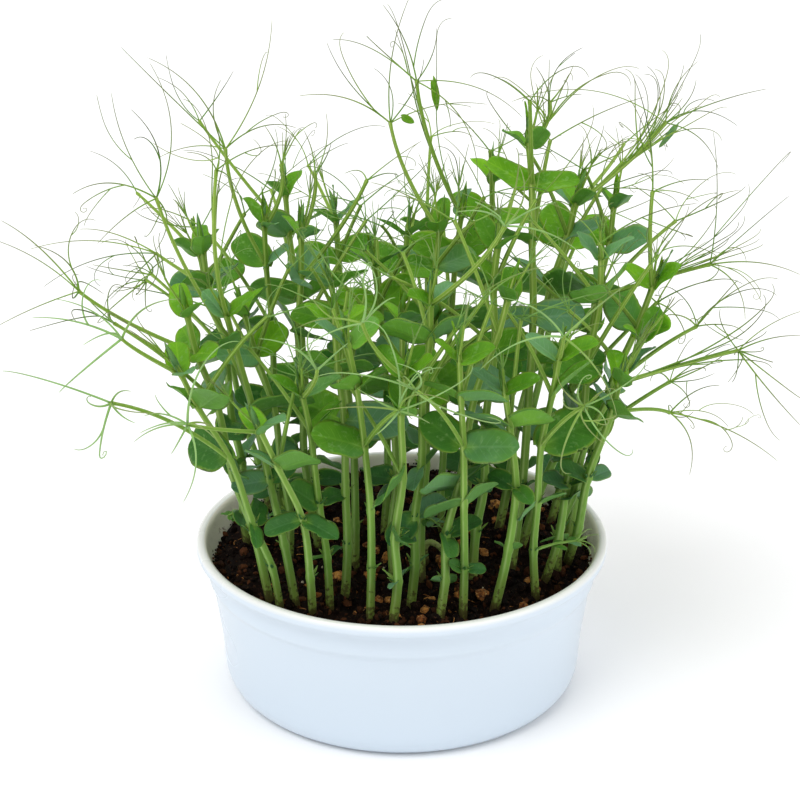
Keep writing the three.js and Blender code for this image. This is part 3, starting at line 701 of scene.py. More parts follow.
def tube(skins, points, radii, sides, slot, tone, ridge=0.0):
    """A tube along the points, closed with a point at its far end. `ridge` is the height of
    its lengthwise ridges in parts of its radius."""
    side = TUBE_SIDE
    rings, places = [], []
    last = len(points) - 1
    for k, point in enumerate(points[:-1]):
        axis = unit(minus(points[k + 1], points[max(0, k - 1)]))
        side = square_to(axis, side)
        level = cross(axis, side)
        ring, marks = [], []
        for s in range(sides):
            angle = TURN * s / sides
            mark = math.cos(RIDGES * angle)
            radius = radii[k] * (1 + ridge * mark)
            spot = plus(point, side, radius * math.cos(angle))
            ring.append(plus(spot, level, radius * math.sin(angle)))
            marks.append((mark if ridge else 0, k / last, tone))
        rings.append(ring)
        places.append(marks)
    skins.skin(rings, places, slot, (points[-1], (0, 1, tone)))


# ---------------------------------------------------------------- stems and leaves

# The seeds of the scene's own draws.
STEM_DRAW = 20000
BLADES_DRAW = 21000
BLADE_DRAW = 22000
SCALES_DRAW = 23000
SCALE_DRAW = 24000
TIP_DRAW = 25000
TIP_LEAF_DRAW = 26000
SPRIG_DRAW = 27000
SPRIG_LEAF_DRAW = 27500
SPRIG_THREAD_DRAW = 28000
HUNG_LEAF_DRAW = 29000
SPRAY_DRAW = 30000
RELIEF_DRAW = 40000
SOIL_DRAW = 41000

STEM_CUTS = 16
CURVE_STEP = 2.2
STEM_SHARES = [0.88, 1.04]
STEM_RIDGE = 0.07
NODE_SWELL = 0.2
NODE_SPAN = 1.3
BUD_TIP_SHARE = 0.22


def grow_stem(skins, shoot):
    draw = random(STEM_DRAW + shoot["index"])
    tone, share = draw(), between(draw, *STEM_SHARES)
    points, marks = smooth(shoot["points"], CURVE_STEP)
    nodes = [points[mark] for mark in marks[2:-1]]
    top = points[marks[-2]][2]
    radii = []
    for point in points:
        radius = share * stem_radius(min(point[2], top), shoot["height"])
        if point[2] > top:
            radius *= 1 - (1 - BUD_TIP_SHARE) * (point[2] - top) / (points[-1][2] - top)
        near = min(math.dist(point, node) for node in nodes)
        radii.append(radius * (1 + NODE_SWELL * math.exp(-((near / NODE_SPAN) ** 2))))
    tube(skins, points, radii, STEM_CUTS, STEM, tone, STEM_RIDGE)


LEAF_COLUMNS = 10
LEAF_ROWS = 16
TOOTHED_ROWS = 28
TOOTHED_SHARE = 0.35
TOOTH_STEP = 0.14
TOOTH_DEPTH = 0.1
TOOTH_FADE = 1.5
LEAF_WIDEST = 0.47
# How round a leaf is towards its root and towards its tip.
ROOT_POWERS = (2.6, 0.55)
TIP_POWERS = (2.7, 0.5)
LEAF_GROWTHS = [0.94, 1.04, 1.1, 1.12]
LEAF_THICKNESS = 0.3
WAVE_BEATS = [1.0, 2.0]
WAVE_HEIGHTS = [0.015, 0.045]
WAVE_LAG = 1.5
RIB_DEPTH = 0.22
RIB_SPAN = 0.16
RIB_SWELL = 1.6
# A leaf narrower than this has a lower rib and thinner edges.
FULL_WIDTH = 8
LOBE = 0.18
INNER_LOBE_SHARE = 0.3
# A leaf's tip, in parts of its length.
LEAF_END = 1.01
# Added to the tone of a leaf's points on its underside.
UNDERSIDE = -2


def leaf_outline(along):
    """Half the width of a leaf, in parts of its greatest half width."""
    if along < LEAF_WIDEST:
        away, (inner, outer) = 1 - along / LEAF_WIDEST, ROOT_POWERS
    else:
        away, (inner, outer) = (along - LEAF_WIDEST) / (1 - LEAF_WIDEST), TIP_POWERS
    return (1 - away**inner) ** outer


def leaf_from(root, ahead, face, length, width, fold=0.3, droop=0.1):
    """A small leaf whose upper side looks as near to `face` as it can."""
    return blade_of(root, ahead, square_to(ahead, face), length, width, fold, droop)


def grow_leaf(skins, blade, outer, tone, seed, rows, columns=LEAF_COLUMNS, slim=0):
    """A thin waved leaf with a sunken rib. `outer` is the side, -1 or 1, with the lobe and,
    on some leaves, the teeth. A greater `slim` narrows it more to a point."""
    draw = random(seed)
    phase, beat = between(draw, 0, TURN), between(draw, *WAVE_BEATS)
    wave = between(draw, *WAVE_HEIGHTS) * blade["length"]
    teeth = TOOTH_DEPTH if rows > LEAF_ROWS else 0
    scale = min(1, blade["width"] / FULL_WIDTH)
    rings, places = [], []
    for i in range(1, rows):
        along = i / rows if teeth else (1 - math.cos(math.pi * i / rows)) / 2
        half = leaf_outline(along) * (1 - along) ** slim
        fade = max(0, 1 - TOOTH_FADE * along)
        tooth = 1 - teeth * abs(math.sin(math.pi * along / TOOTH_STEP)) * fade
        top, under, marks = [], [], []
        for j in range(columns + 1):
            across = 2 * j / columns - 1
            on_outer = across * outer > 0
            lobed = LOBE * across**2 * (1 - along) ** 2 * (1 if on_outer else INNER_LOBE_SHARE)
            rib = math.exp(-((across / RIB_SPAN) ** 2)) * (1 - along)
            sway = wave * across**2 * math.sin(phase + TURN * beat * along + WAVE_LAG * across)
            edge = LEAF_THICKNESS / 2 * math.sqrt(1 - across**2) * scale
            spot = (along - lobed, across * half * (tooth if on_outer else 1))
            middle = sway - RIB_DEPTH * rib * scale
            top.append(blade_point(blade, *spot, middle + edge))
            under.append(blade_point(blade, *spot, middle - edge * (1 + RIB_SWELL * rib)))
            marks.append((across, along, tone))
        rings.append(top + under[-2:0:-1])
        places.append(marks + [plus(mark, UP, UNDERSIDE) for mark in marks[-2:0:-1]])
    start = (blade_point(blade, 0, 0, 0), (0, 0, tone))
    end = (blade_point(blade, LEAF_END, 0, 0), (0, 1, tone))
    rings = [ring[::-1] for ring in rings]
    skins.skin(rings, [marks[::-1] for marks in places], LEAF, end, start)


LEAF_TONES = [0.72, 0.58, 0.36, 0.22]
TONE_SHIFT = 0.38


def grow_blades(skins, shoot):
    draw = random(BLADES_DRAW + shoot["index"])
    for k, blade in enumerate(shoot["blades"]):
        toward = dot(blade["side"], heading(shoot["turns"][blade["rank"]], 0))
        tone = LEAF_TONES[blade["rank"]] + between(draw, -TONE_SHIFT, TONE_SHIFT)
        tone = min(1, max(0, tone))
        toothed = draw() < TOOTHED_SHARE
        growth = LEAF_GROWTHS[blade["rank"]]
        sizes = {name: blade[name] * growth for name in ("length", "width")}
        rows = TOOTHED_ROWS if toothed else LEAF_ROWS
        seed = BLADE_DRAW + 20 * shoot["index"] + k
        grow_leaf(skins, {**blade, **sizes}, -1 if toward > 0 else 1, tone, seed, rows)


# A scale at a bare node is of three lobes: the angle from its middle, length and width.
SCALE_LOBES = [(-55, 3.0, 1.7), (0, 4.4, 1.6), (55, 3.0, 1.7)]
# The chance of a pair of small leaves and the length of its leaves: at the highest bare node
# of a stem, at a high bare node of a stem at the back, and at any other one.
HIGH_PAIR = (0.9, [8.5, 14])
BACK_PAIR = (1.0, [9, 15.5])
LOW_PAIR = (0.25, [4.5, 7])
BACK_FROM_Y = 5
BACK_FROM_Z = 52
PAIR_TRIES = 6
PAIR_SIZES = dict(
    turn=[45, 110], elevation=[-25, 45], face=[0.2, 1.2], share=[0.62, 0.8], tone=[0, 0.5]
)
SPINE_STEPS = 8
# How far out of the stem's middle a scale or a small leaf starts, in parts of its radius.
FLANK_SHARE = 0.7
# The rows and columns of a leaf's mesh, here and below.
PAIR_GRID = (12, 8)
SCALE_GRID = (6, 4)
SCALE_SIZES = dict(size=[0.75, 1.35], elevation=[25, 62])
SCALE_FOLD = 0.5
SCALE_DROOP = -0.15
SCALE_SLIM = 0.3
# The tone of a scale, which is paler than any leaf.
SCALE_TONE = 1.4


def grow_scales(skins, shoot, field):
    """A scale at each bare node, and at some of them a pair of small leaves."""
    draw = random(SCALES_DRAW + shoot["index"])
    for rank in range(shoot["leafy"], len(shoot["nodes"])):
        node, turn = shoot["nodes"][rank], shoot["turns"][rank]
        seed = SCALE_DRAW + 60 * shoot["index"] + 10 * rank
        flank = stem_radius(node[2], shoot["height"]) * FLANK_SHARE
        size, lift = pick(draw, SCALE_SIZES, "size", "elevation")
        pair = LOW_PAIR if rank > shoot["leafy"] else HIGH_PAIR
        if node[1] > BACK_FROM_Y and node[2] > BACK_FROM_Z:
            pair = BACK_PAIR
        paired = draw() < pair[0]
        for k, (angle, length, width) in enumerate(SCALE_LOBES):
            azimuth = turn + angle
            ahead = heading(azimuth, lift)
            root = plus(node, heading(azimuth, 0), flank)
            length, width = length * size, width * size
            scale = leaf_from(root, ahead, UP, length, width, SCALE_FOLD, SCALE_DROOP)
            grow_leaf(skins, scale, 1, SCALE_TONE, seed + k, *SCALE_GRID, SCALE_SLIM)
        for sign in (-1, 1) if paired else ():
            for _ in range(PAIR_TRIES):
                azimuth = turn + sign * between(draw, *PAIR_SIZES["turn"])
                ahead = heading(azimuth, between(draw, *PAIR_SIZES["elevation"]))
                root = plus(node, heading(azimuth, 0), flank)
                length = between(draw, *pair[1])
                face = plus(UP, heading(turn, 0), between(draw, *PAIR_SIZES["face"]))
                share, tone = pick(draw, PAIR_SIZES, "share", "tone")
                marks = [length * k / SPINE_STEPS for k in range(SPINE_STEPS + 1)]
                spine = [plus(root, ahead, mark) for mark in marks]
                if is_clear(field, shoot, spine, root):
                    leaf = leaf_from(root, ahead, face, length, length * share)
                    grow_leaf(skins, leaf, sign, tone, seed + 5 + sign, *PAIR_GRID)
                    keep_clear_of(field, shoot, spine)
                    break


# ---------------------------------------------------------------- stalks and tendrils

STALK_CUTS = 8
STALK_STEPS = 18
STALK_SHARE = 0.9
STALK_RIDGE = 0.08
# A stalk is this much thicker at its star, and ends this far beyond it.
STAR_SWELL = 1.25
STAR_END = 0.9
THREAD_CUTS = 5
THREAD_RADIUS = [0.22, 0.33]
# The threads of the stars in front of this y are thicker and paler.
FRONT_Y = -60
FRONT_RADIUS = [0.34, 0.46]
THREAD_END = 0.08
THREAD_TAPER = 0.8
REACH_MARGIN = 7
# The spacing and radius of the balls that a new thread is tested as, and is kept as.
TESTED_SPACING, TESTED_RADIUS = 2.2, 0.2
KEPT_SPACING, KEPT_RADIUS = 3.0, 0.25
# Of the points of a thread or a spine, every fourth is looked at.
LOOKED_AT = slice(None, None, 4)


def grow_stalk(skins, start, end, bow, radii, tone):
    """A bowed leaf stalk. `radii` are those at its start and its end."""
    curve = bowed(start, end, bow, STALK_STEPS)
    slim = (radii[1] - radii[0]) / STALK_STEPS
    radii = [radii[0] + slim * k for k in range(STALK_STEPS + 1)]
    radii[-1] *= STAR_SWELL
    curve.append(plus(curve[-1], unit(minus(curve[-1], curve[-2])), STAR_END))
    tube(skins, curve, radii, STALK_CUTS, STEM, tone, STALK_RIDGE)


def thread(skins, points, radius, tone):
    last = len(points) - 1
    rest = radius - THREAD_END
    radii = [THREAD_END + rest * (1 - k / last) ** THREAD_TAPER for k in range(last + 1)]
    tube(skins, points, radii, THREAD_CUTS, THREAD, tone)


def inside_reach(points):
    low, high = ([value / MM for value in corner] for corner in cad_box)
    return all(
        low[axis] - REACH_MARGIN < point[axis] < high[axis] + REACH_MARGIN
        for point in points
        for axis in range(3)
    )


def is_clear(field, shoot, points, start):
    """Whether a thread or a leaf's spine keeps clear of what is there and inside the reach."""
    balls = beads(points[LOOKED_AT], TESTED_SPACING)
    return inside_reach(points) and field.is_free(balls, TESTED_RADIUS, shoot["index"], start)


def keep_clear_of(field, shoot, points):
    """Adds a thread or a leaf's spine to what later ones keep clear of."""
    field.add(beads(points, KEPT_SPACING), KEPT_RADIUS, shoot["index"])


# Threads are set out from a side square to their start and to this odd direction.
ASKEW = (0.12, 0.33, 0.94)
THREAD_SHRINK = 0.08
THREAD_SIZES = dict(rise=[-1, 0.7], bend=[20, 105], tight=[160, 460], loose=[-20, 90])
# The share of the threads that curl up tight.
CURL_SHARE = 0.4


def sprout_thread(field, shoot, seed, start, ahead, spread, length, tries=6):
    """A thread from `start` that leaves `ahead` by an angle within `spread`, or None."""
    for attempt in range(tries):
        draw = random(seed + attempt)
        slant = rad(between(draw, *spread))
        turn = between(draw, 0, TURN)
        level = unit(cross(ahead, ASKEW))
        way = unit(swing(ahead, swing(level, cross(ahead, level), turn), slant))
        spin = between(draw, 0, TURN)
        side = square_to(way, polar(1, spin, between(draw, *THREAD_SIZES["rise"])))
        size = between(draw, *length) * (1 - THREAD_SHRINK * attempt)
        curl = between(draw, *THREAD_SIZES["tight" if draw() < CURL_SHARE else "loose"])
        points = curled(start, way, side, size, between(draw, *THREAD_SIZES["bend"]), curl)
        if is_clear(field, shoot, points, start):
            keep_clear_of(field, shoot, points[LOOKED_AT])
            return points
    return None


FORK_SHARE = 0.4
# A shorter thread than this forks less often.
FORK_SPAN = 30
FORK_TRIES = 4
FORK_SIZES = dict(share=[0.15, 0.6], span=[0.8, 1.3], spread=[20, 48])
# The least and the greatest length of a fork: in millimetres, and in parts of its span.
FORK_LENGTHS = [(8, 0.8), (11, 1.15)]
# A fork is thinner than its thread, and more so near the thread's end.
FORK_RADIUS = 0.85
FORK_THINNING = 0.3
TWIG_SHARE = 0.12


def fork(skins, field, shoot, seed, points, radius, tone, chance):
    """A thread may split off a finer one, and that one a finer one still."""
    draw = random(seed)
    if draw() > chance:
        return
    last = len(points) - 1
    share = between(draw, *FORK_SIZES["share"])
    mark = max(1, round(share * last))
    ahead = unit(minus(points[mark + 1], points[mark]))
    span = math.dist(points[0], points[-1]) * (1 - share) * between(draw, *FORK_SIZES["span"])
    span = [max(least, span * part) for least, part in FORK_LENGTHS]
    start, spread = points[mark], FORK_SIZES["spread"]
    side = sprout_thread(field, shoot, seed + 10, start, ahead, spread, span, FORK_TRIES)
    if side:
        thin = radius * (FORK_RADIUS - FORK_THINNING * share)
        thread(skins, side, thin, tone)
        fork(skins, field, shoot, seed + 40, side, thin, tone, TWIG_SHARE)


# More tendril ends of the long sprays, by shoot and node: x, y, z and sideways bow.
MORE_ENDS = {
    (0, 1): [(-113, -62, 182, 3), (-98, -30, 156, -4)],
    (1, 0): [(-68, -66, 166, 3)],
    (2, 1): [(-87, -26, 217, 4), (-82, -20, 168, 3), (-48, -46, 206, -4), (-81, -20, 231, 5)],
    (2, 0): [(-52, -60, 196, 2)],
    (3, 0): [(-79, -92, 132, 2)],
    (5, 1): [(-20, 10, 187, 2)],
    (6, 0): [(-24, -94, 168, -3)],
    (11, 0): [(-32, -80, 161, -2), (-2, -90, 174, 3)],
    (12, 0): [(35, -60, 207, 3)],
    (14, 0): [(-25, 0, 234, -4), (-10, 24, 221, 3), (7, -10, 230, 3)],
    (17, 0): [(-25, 40, 228, -5), (12, 30, 234, 2)],
    (20, 0): [(60, 0, 232, -3), (36, -6, 215, 2)],
    (21, 0): [(23, -84, 149, 4)],
    (22, 0): [(82, -30, 168, 3)],
    (24, 0): [(103, -60, 136, 3), (106, -26, 150, -3), (118, -50, 162, 4)],
    (24, 1): [(116, -6, 99, 3), (107, -30, 124, 3)],
    (25, 0): [(81, 10, 187, 2)],
    (26, 1): [(-88, 22, 225, 4), (-36, 14, 202, 4), (-62, 20, 218, -3)],
    (27, 0): [(131, 0, 163, 4), (128, 10, 140, -3), (118, -10, 140, 3)],
    (28, 1): [(-103, 4, 143, 3), (-119, 40, 159, -3)],
    (34, 0): [(104, 36, 215, 3), (124, 54, 194, -4), (41, 62, 202, 6)],
}
MORE_BOW = 1.3
# The number of further threads at a high, a low and a long star.
HIGH_THREADS = [-0.4, 1.4]
LOW_THREADS = [1, 4]
LONG_THREADS = [0, 1]
HIGH_STAR = 146
SHORT_THREADS = 3
# The spread and the length of the further threads, and of the short ones.
MORE_SIZES = ([15, 85], [20, 46])
SHORT_SIZES = ([20, 110], [9, 18])


def more_threads(shoot, field, stalk, seed):
    """The tendrils of a star that the solid model leaves out."""
    draw = random(seed)
    star = stalk["points"][-1]
    way = unit(minus(star, stalk["points"][1]))
    ends = MORE_ENDS.get((shoot["index"], stalk["rank"]), ())
    threads = []
    for x, y, z, bow in ends:
        side = square_to(unit(minus((x, y, z), star)), (1 if bow > 0 else -1, 0, 1))
        points = bowed(star, (x, y, z), times(side, abs(bow) * MORE_BOW), TENDRIL_STEPS)
        if is_clear(field, shoot, points, star):
            threads.append(points)
    high = star[2] > HIGH_STAR
    wanted = LONG_THREADS if ends else HIGH_THREADS if high else LOW_THREADS
    groups = [
        (round(between(draw, *wanted)), seed + 1, MORE_SIZES),
        (0 if high else SHORT_THREADS, seed + 100, SHORT_SIZES),
    ]
    for count, first, sizes in groups:
        for k in range(count):
            threads.append(sprout_thread(field, shoot, first + 8 * k, star, way, *sizes))
    return [points for points in threads if points]


# Stalks with a bundle of threads along them: their number by shoot and node.
BUNDLES = {(34, 0): 15, (27, 0): 9, (20, 0): 8, (2, 0): 3, (17, 0): 3, (24, 0): 5}
BUNDLE_STEPS = 12
# Between which of the stalk's steps a thread lies along it, how far it then stands off, and
# the thread's own free end.
BUNDLE_SIZES = dict(
    first=[0, 7], last=[9, 12], spread=[1, 7], bend=[-20, 60], curl=[0, 110], length=[10, 34]
)
BUNDLE_OPENING = 1.4


def grow_bundle(skins, shoot, stalk, seed):
    """Young threads that still lie along their stalk and open beyond its star."""
    draw = random(seed)
    spine = bowed(stalk["points"][0], stalk["points"][-1], stalk["bow"], BUNDLE_STEPS)
    way = unit(minus(spine[-1], spine[-2]))
    level = unit(cross(way, UP))
    for _ in range(BUNDLES.get((shoot["index"], stalk["rank"]), 0)):
        off = swing(level, cross(way, level), between(draw, 0, TURN))
        first, last, spread = pick(draw, BUNDLE_SIZES, "first", "last", "spread")
        first, last = round(first), round(last)
        points = [
            plus(spine[j], off, spread * ((j - first) / (last - first)) ** BUNDLE_OPENING)
            for j in range(first, last + 1)
        ]
        ahead = unit(minus(points[-1], points[-2]))
        bend, curl, length = pick(draw, BUNDLE_SIZES, "bend", "curl", "length")
        points += curled(points[-1], ahead, square_to(ahead, off), length, bend, curl)[1:]
        if inside_reach(points):
            thread(skins, points, between(draw, *THREAD_RADIUS), between(draw, 0, 1))


# Single small leaves on the long sprays: the shoot, the node, the thread that carries the
# leaf, how far along it, then the leaf's direction, length, width and tone.
HUNG_LEAVES = [
    [17, 0, 1, 0.13, (0.22, -0.15, -1), 10.5, 3.2, 0.45],
    [14, 0, 2, 0.14, (0.9, -0.1, -0.35), 4.6, 3, 0.4],
    [34, 0, 2, 0.12, (-0.5, -0.05, -0.85), 10, 2.6, 0.1],
]
HUNG_FACE = (0.2, -1, 0.3)
HUNG_DROOP = 0.3
HUNG_GRID = (14, 8)
HUNG_SLIM = 0.2


def hang_leaves(skins, shoot, stalk):
    for index, rank, number, share, way, length, width, tone in HUNG_LEAVES:
        if (index, rank) == (shoot["index"], stalk["rank"]) and number < len(stalk["tendrils"]):
            points = stalk["tendrils"][number]
            start = points[round(share * (len(points) - 1))]
            leaf = leaf_from(start, unit(way), HUNG_FACE, length, width, droop=HUNG_DROOP)
            grow_leaf(skins, leaf, 1, tone, HUNG_LEAF_DRAW + index, *HUNG_GRID, HUNG_SLIM)


def grow_sprays(skins, shoot, field):
    for number, stalk in enumerate(shoot["stalks"]):
        radii = (STALK_RADIUS * STALK_SHARE, STALK_TIP_RADIUS * STALK_SHARE)
        seed = SPRAY_DRAW + 1000 * shoot["index"] + 200 * number
        draw = random(seed + 199)
        start, star = stalk["points"][0], stalk["points"][-1]
        grow_stalk(skins, start, star, stalk["bow"], radii, between(draw, 0.2, 1))
        threads = stalk["tendrils"] + more_threads(shoot, field, stalk, seed)
        front = star[1] < FRONT_Y
        for k, points in enumerate(threads):
            tone = between(draw, 0, 1) + (1 if front else 0)
            radius = between(draw, *(FRONT_RADIUS if front else THREAD_RADIUS))
            thread(skins, points, radius, tone)
            span = math.dist(points[0], points[-1])
            chance = FORK_SHARE * min(1, span / FORK_SPAN)
            fork(skins, field, shoot, seed + 60 + 12 * k, points, radius, tone, chance)
        grow_bundle(skins, shoot, stalk, seed + 190)
        hang_leaves(skins, shoot, stalk)


# ---------------------------------------------------------------- the young tips

TIP_LEAVES = 3
TIP_SIZES = dict(lean=[0.04, 0.24], length=[10, 16], width=[2.6, 3.8], tone=[0.45, 1])
# How much of the bud is between a young leaf and the next, and how much smaller that one is.
TIP_STEP = 0.25
TIP_SHRINK = dict(length=0.18, width=0.14)
# A young leaf is folded nearly shut.
TIP_FOLD = 0.9
TIP_DROOP = -0.05
TIP_GRID = (14, 6)
TIP_SLIM = 0.55
BRUSH_SIZES = dict(
    side=[-0.4, 0.4], stalk=[7, 14], threads=[4, 8], slant=[0.05, 0.5], bend=[-20, 35],
    curl=[-10, 80], length=[7, 17], tone=[0.3, 1],
)
# How far a brush leans to the side of the highest leaf.
BRUSH_LEAN = 0.35
BRUSH_BOW = 0.8
BRUSH_TONE = 0.7
BRUSH_RADII = (0.5, 0.36)
BRUSH_RADIUS = 0.24
BRUSH_STEPS = 14


def grow_tip(skins, shoot):
    """The slim folded young leaves and the young tendrils at a shoot's tip."""
    draw = random(TIP_DRAW + shoot["index"])
    tip, bud = shoot["points"][-2:]
    way = unit(minus(bud, tip))
    level = unit(cross(way, heading(shoot["turns"][0], 0)))
    for k in range(TIP_LEAVES):
        sign = -1 if k % 2 else 1
        start = plus(tip, way, BUD_LENGTH * TIP_STEP * k)
        ahead = unit(plus(way, level, sign * between(draw, *TIP_SIZES["lean"])))
        length, width, tone = pick(draw, TIP_SIZES, "length", "width", "tone")
        length *= 1 - TIP_SHRINK["length"] * k
        width *= 1 - TIP_SHRINK["width"] * k
        leaf = leaf_from(start, ahead, times(level, -sign), length, width, TIP_FOLD, TIP_DROOP)
        seed = TIP_LEAF_DRAW + 10 * shoot["index"] + k
        grow_leaf(skins, leaf, 1, tone, seed, *TIP_GRID, TIP_SLIM)
    side = times(level, between(draw, *BRUSH_SIZES["side"]))
    lean = plus(side, heading(shoot["turns"][0], 0), BRUSH_LEAN)
    start, ahead = mix(tip, bud, TIP_STEP), unit(plus(way, lean))
    star = plus(start, ahead, between(draw, *BRUSH_SIZES["stalk"]))
    grow_stalk(skins, start, star, times(lean, BRUSH_BOW), BRUSH_RADII, BRUSH_TONE)
    for _ in range(round(between(draw, *BRUSH_SIZES["threads"]))):
        spin, slant = between(draw, 0, TURN), between(draw, *BRUSH_SIZES["slant"])
        off = swing(level, cross(ahead, level), spin)
        young = unit(plus(ahead, off, slant))
        bend, curl, length = pick(draw, BRUSH_SIZES, "bend", "curl", "length")
        points = curled(star, young, square_to(young, off), length, bend, curl, BRUSH_STEPS)
        if inside_reach(points):
            thread(skins, points, BRUSH_RADIUS, between(draw, *BRUSH_SIZES["tone"]))


# ---------------------------------------------------------------- low sprigs

# Small side shoots low on a stem: the shoot, its bare node from the top, the compass angle,
# the length and the number of threads.
SPRIGS = [
    [21, 1, 8, 15, 5],
    [28, 1, 215, 6, 0],
    [14, 1, 300, 10, 3],
    [33, 1, 60, 12, 4],
    [8, 0, 200, 9, 2],
]
SPRIG_LIFT = 10
SPRIG_SHARES = (0.5, 0.85)
SPRIG_SIZES = dict(size=[4.5, 6.5], spread=[0.9, 1.6], tone=[0.4, 0.9])
SPRIG_WIDTH = 0.6
SPRIG_GRID = (12, 6)
SPRIG_BOW = (0, 0, 0.8)
SPRIG_RADII = (0.6, 0.42)
SPRIG_TONE = 0.5
# The spread and the length of a sprig's threads.
SPRIG_THREADS = ([5, 50], [7, 12])
SPRIG_THREAD_RADIUS = 0.26
SPRIG_THREAD_TONE = 0.8


def grow_sprig(skins, shoot, field, node, azimuth, length, threads):
    draw = random(SPRIG_DRAW + shoot["index"])
    start = shoot["nodes"][shoot["leafy"] + node]
    ahead = heading(azimuth, SPRIG_LIFT)
    end = plus(start, ahead, length)
    grow_stalk(skins, start, end, SPRIG_BOW, SPRIG_RADII, SPRIG_TONE)
    for sign in (-1, 1):
        for share in SPRIG_SHARES:
            size = between(draw, *SPRIG_SIZES["size"]) * (1.15 - 0.4 * share)
            spread = sign * between(draw, *SPRIG_SIZES["spread"])
            way = unit(plus(ahead, cross(UP, ahead), spread))
            leaf = leaf_from(mix(start, end, share), way, UP, size, size * SPRIG_WIDTH)
            seed = SPRIG_LEAF_DRAW + 10 * shoot["index"] + round(4 * share) + sign
            tone = between(draw, *SPRIG_SIZES["tone"])
            grow_leaf(skins, leaf, sign, tone, seed, *SPRIG_GRID)
    for k in range(threads):
        seed = SPRIG_THREAD_DRAW + 50 * shoot["index"] + 8 * k
        points = sprout_thread(field, shoot, seed, end, ahead, *SPRIG_THREADS)
        if points:
            thread(skins, points, SPRIG_THREAD_RADIUS, SPRIG_THREAD_TONE)


# ---------------------------------------------------------------- dish and soil

DISH_CUTS = 160
# Radius and height from the middle of the base up the outside, over the lip and down the
# inside to the middle of the floor.
DISH_LINE = [
    [0, 0], [20, 0], [40, 0], [58.9, 0.05], [61.2, 0.45], [63, 1.35], [64.3, 2.8],
    [65.3, 4.6], [65.9, 6.7], [66.15, 9.2], [66.3, 12.5], [66.75, 18.8], [67.65, 26.1],
    [68.65, 33.4], [69.55, 40.1], [69.85, 41.2], [70.45, 42.1], [70.95, 42.8], [71.1, 43.6],
    [71, 45], [70.95, 47], [71.3, 49.1], [72.1, 50.8], [73, 51.7], [74, 52.1], [74.6, 52.4],
    [74.95, 52.95], [75, 53.7], [75, 54.8], [74.85, 55.5], [74.4, 56], [73.7, 56.2],
    [72.9, 56.15], [72.2, 55.85], [71.6, 55.2], [71.1, 54.1], [70.6, 52.4], [69.5, 48.8],
    [68.1, 45], [67.1, 40], [66, 32], [65, 25], [64.1, 18], [63.5, 12], [62.9, 8],
    [61.9, 5.2], [60.2, 3.6], [58, 3], [40, 3], [20, 3], [0, 3],
]
INSIDE_FROM = 32


def dish():
    skins = Skins()
    angles = [TURN * s / DISH_CUTS for s in range(DISH_CUTS)]
    rings = [[polar(radius, a, z) for a in angles] for radius, z in DISH_LINE[1:-1]]
    mark = (0, 0, 0)
    places = [[mark] * DISH_CUTS] * len(rings)
    base, floor = (0, 0, DISH_LINE[0][1]), (0, 0, DISH_LINE[-1][1])
    skins.skin(rings, places, 0, (floor, mark), (base, mark))
    inner = set(range(INSIDE_FROM * DISH_CUTS, len(rings) * DISH_CUTS))
    skins.slots = [1 if inner.issuperset(face[:2]) else 0 for face in skins.faces]
    return skins.piece("dish_glossy", [glaze_material(False), glaze_material(True)])


def soil_height(x, y):
    """The top of the solid model's soil, with its broad swells."""
    broad = math.sin(0.13 * x + 1.1) * math.cos(0.11 * y - 0.4)
    bumps = SOIL_BUMP * (broad + 0.5 * math.sin(0.31 * x - 0.27 * y))
    return SOIL_LEVEL + SOIL_RISE + SOIL_SLOPE * y + bumps


SOIL_CUTS = 170
SOIL_STEPS = 62
SOIL_SIDE = [[56, 3.4], [63.5, 18], [66, 36]]
SOIL_WAVES = 30
# The turn of a wave's angle for each millimetre. The finer a wave, the lower it is.
WAVE_SIZES = [0.25, 2.4]
WAVE_HEIGHT = 0.3
WAVE_EASE = 0.5
WALL_GAP = 0.35
# The two straight parts of the dish's inside near the soil's top: the radius and the height
# at the foot of each, how far it runs out and how far up.
LOW_WALL = (64.1, 18, 4, 27)
HIGH_WALL = (68.1, 45, 2.5, 7.4)
# Where the wall's height is worked out that the soil's edge meets.
EDGE_RADIUS = 67
# The lumps of the soil get lower over the last part of the way to the wall.
EDGE_FADE = 14
EDGE_LUMPS = 0.25
SOIL_TONE = 0.2
MOUND_HEIGHT = 1.3
MOUND_SPAN = 3.4


def wall_radius(z):
    """The inside of the dish at a height near the top of the soil."""
    radius, foot, out, up = LOW_WALL if z < HIGH_WALL[1] else HIGH_WALL
    return radius + (z - foot) * out / up


def soil_relief(feet):
    """Small lumps as a sum of seeded waves, with a low mound round each stem."""
    draw = random(RELIEF_DRAW)
    waves = []
    for _ in range(SOIL_WAVES):
        size = between(draw, *WAVE_SIZES)
        angle, phase = between(draw, 0, TURN), between(draw, 0, TURN)
        waves.append((*polar(size, angle, phase), WAVE_HEIGHT / (WAVE_EASE + size)))

    def relief(x, y):
        lumps = sum(a * math.sin(u * x + v * y + p) for u, v, p, a in waves)
        near = min(math.hypot(x - foot[0], y - foot[1]) for foot in feet)
        return lumps + MOUND_HEIGHT * math.exp(-((near / MOUND_SPAN) ** 2))

    return relief


def soil_point(radius_share, angle, relief):
    """A point of the soil's top, by its share of the way from the middle to the wall."""
    edge = soil_height(*polar(EDGE_RADIUS, angle, 0)[:2])
    x, y, _ = polar(radius_share * (wall_radius(edge) - WALL_GAP), angle, 0)
    lumps = relief(x, y) * min(1, EDGE_FADE * (1 - radius_share) + EDGE_LUMPS)
    return (x, y, soil_height(x, y) + lumps)


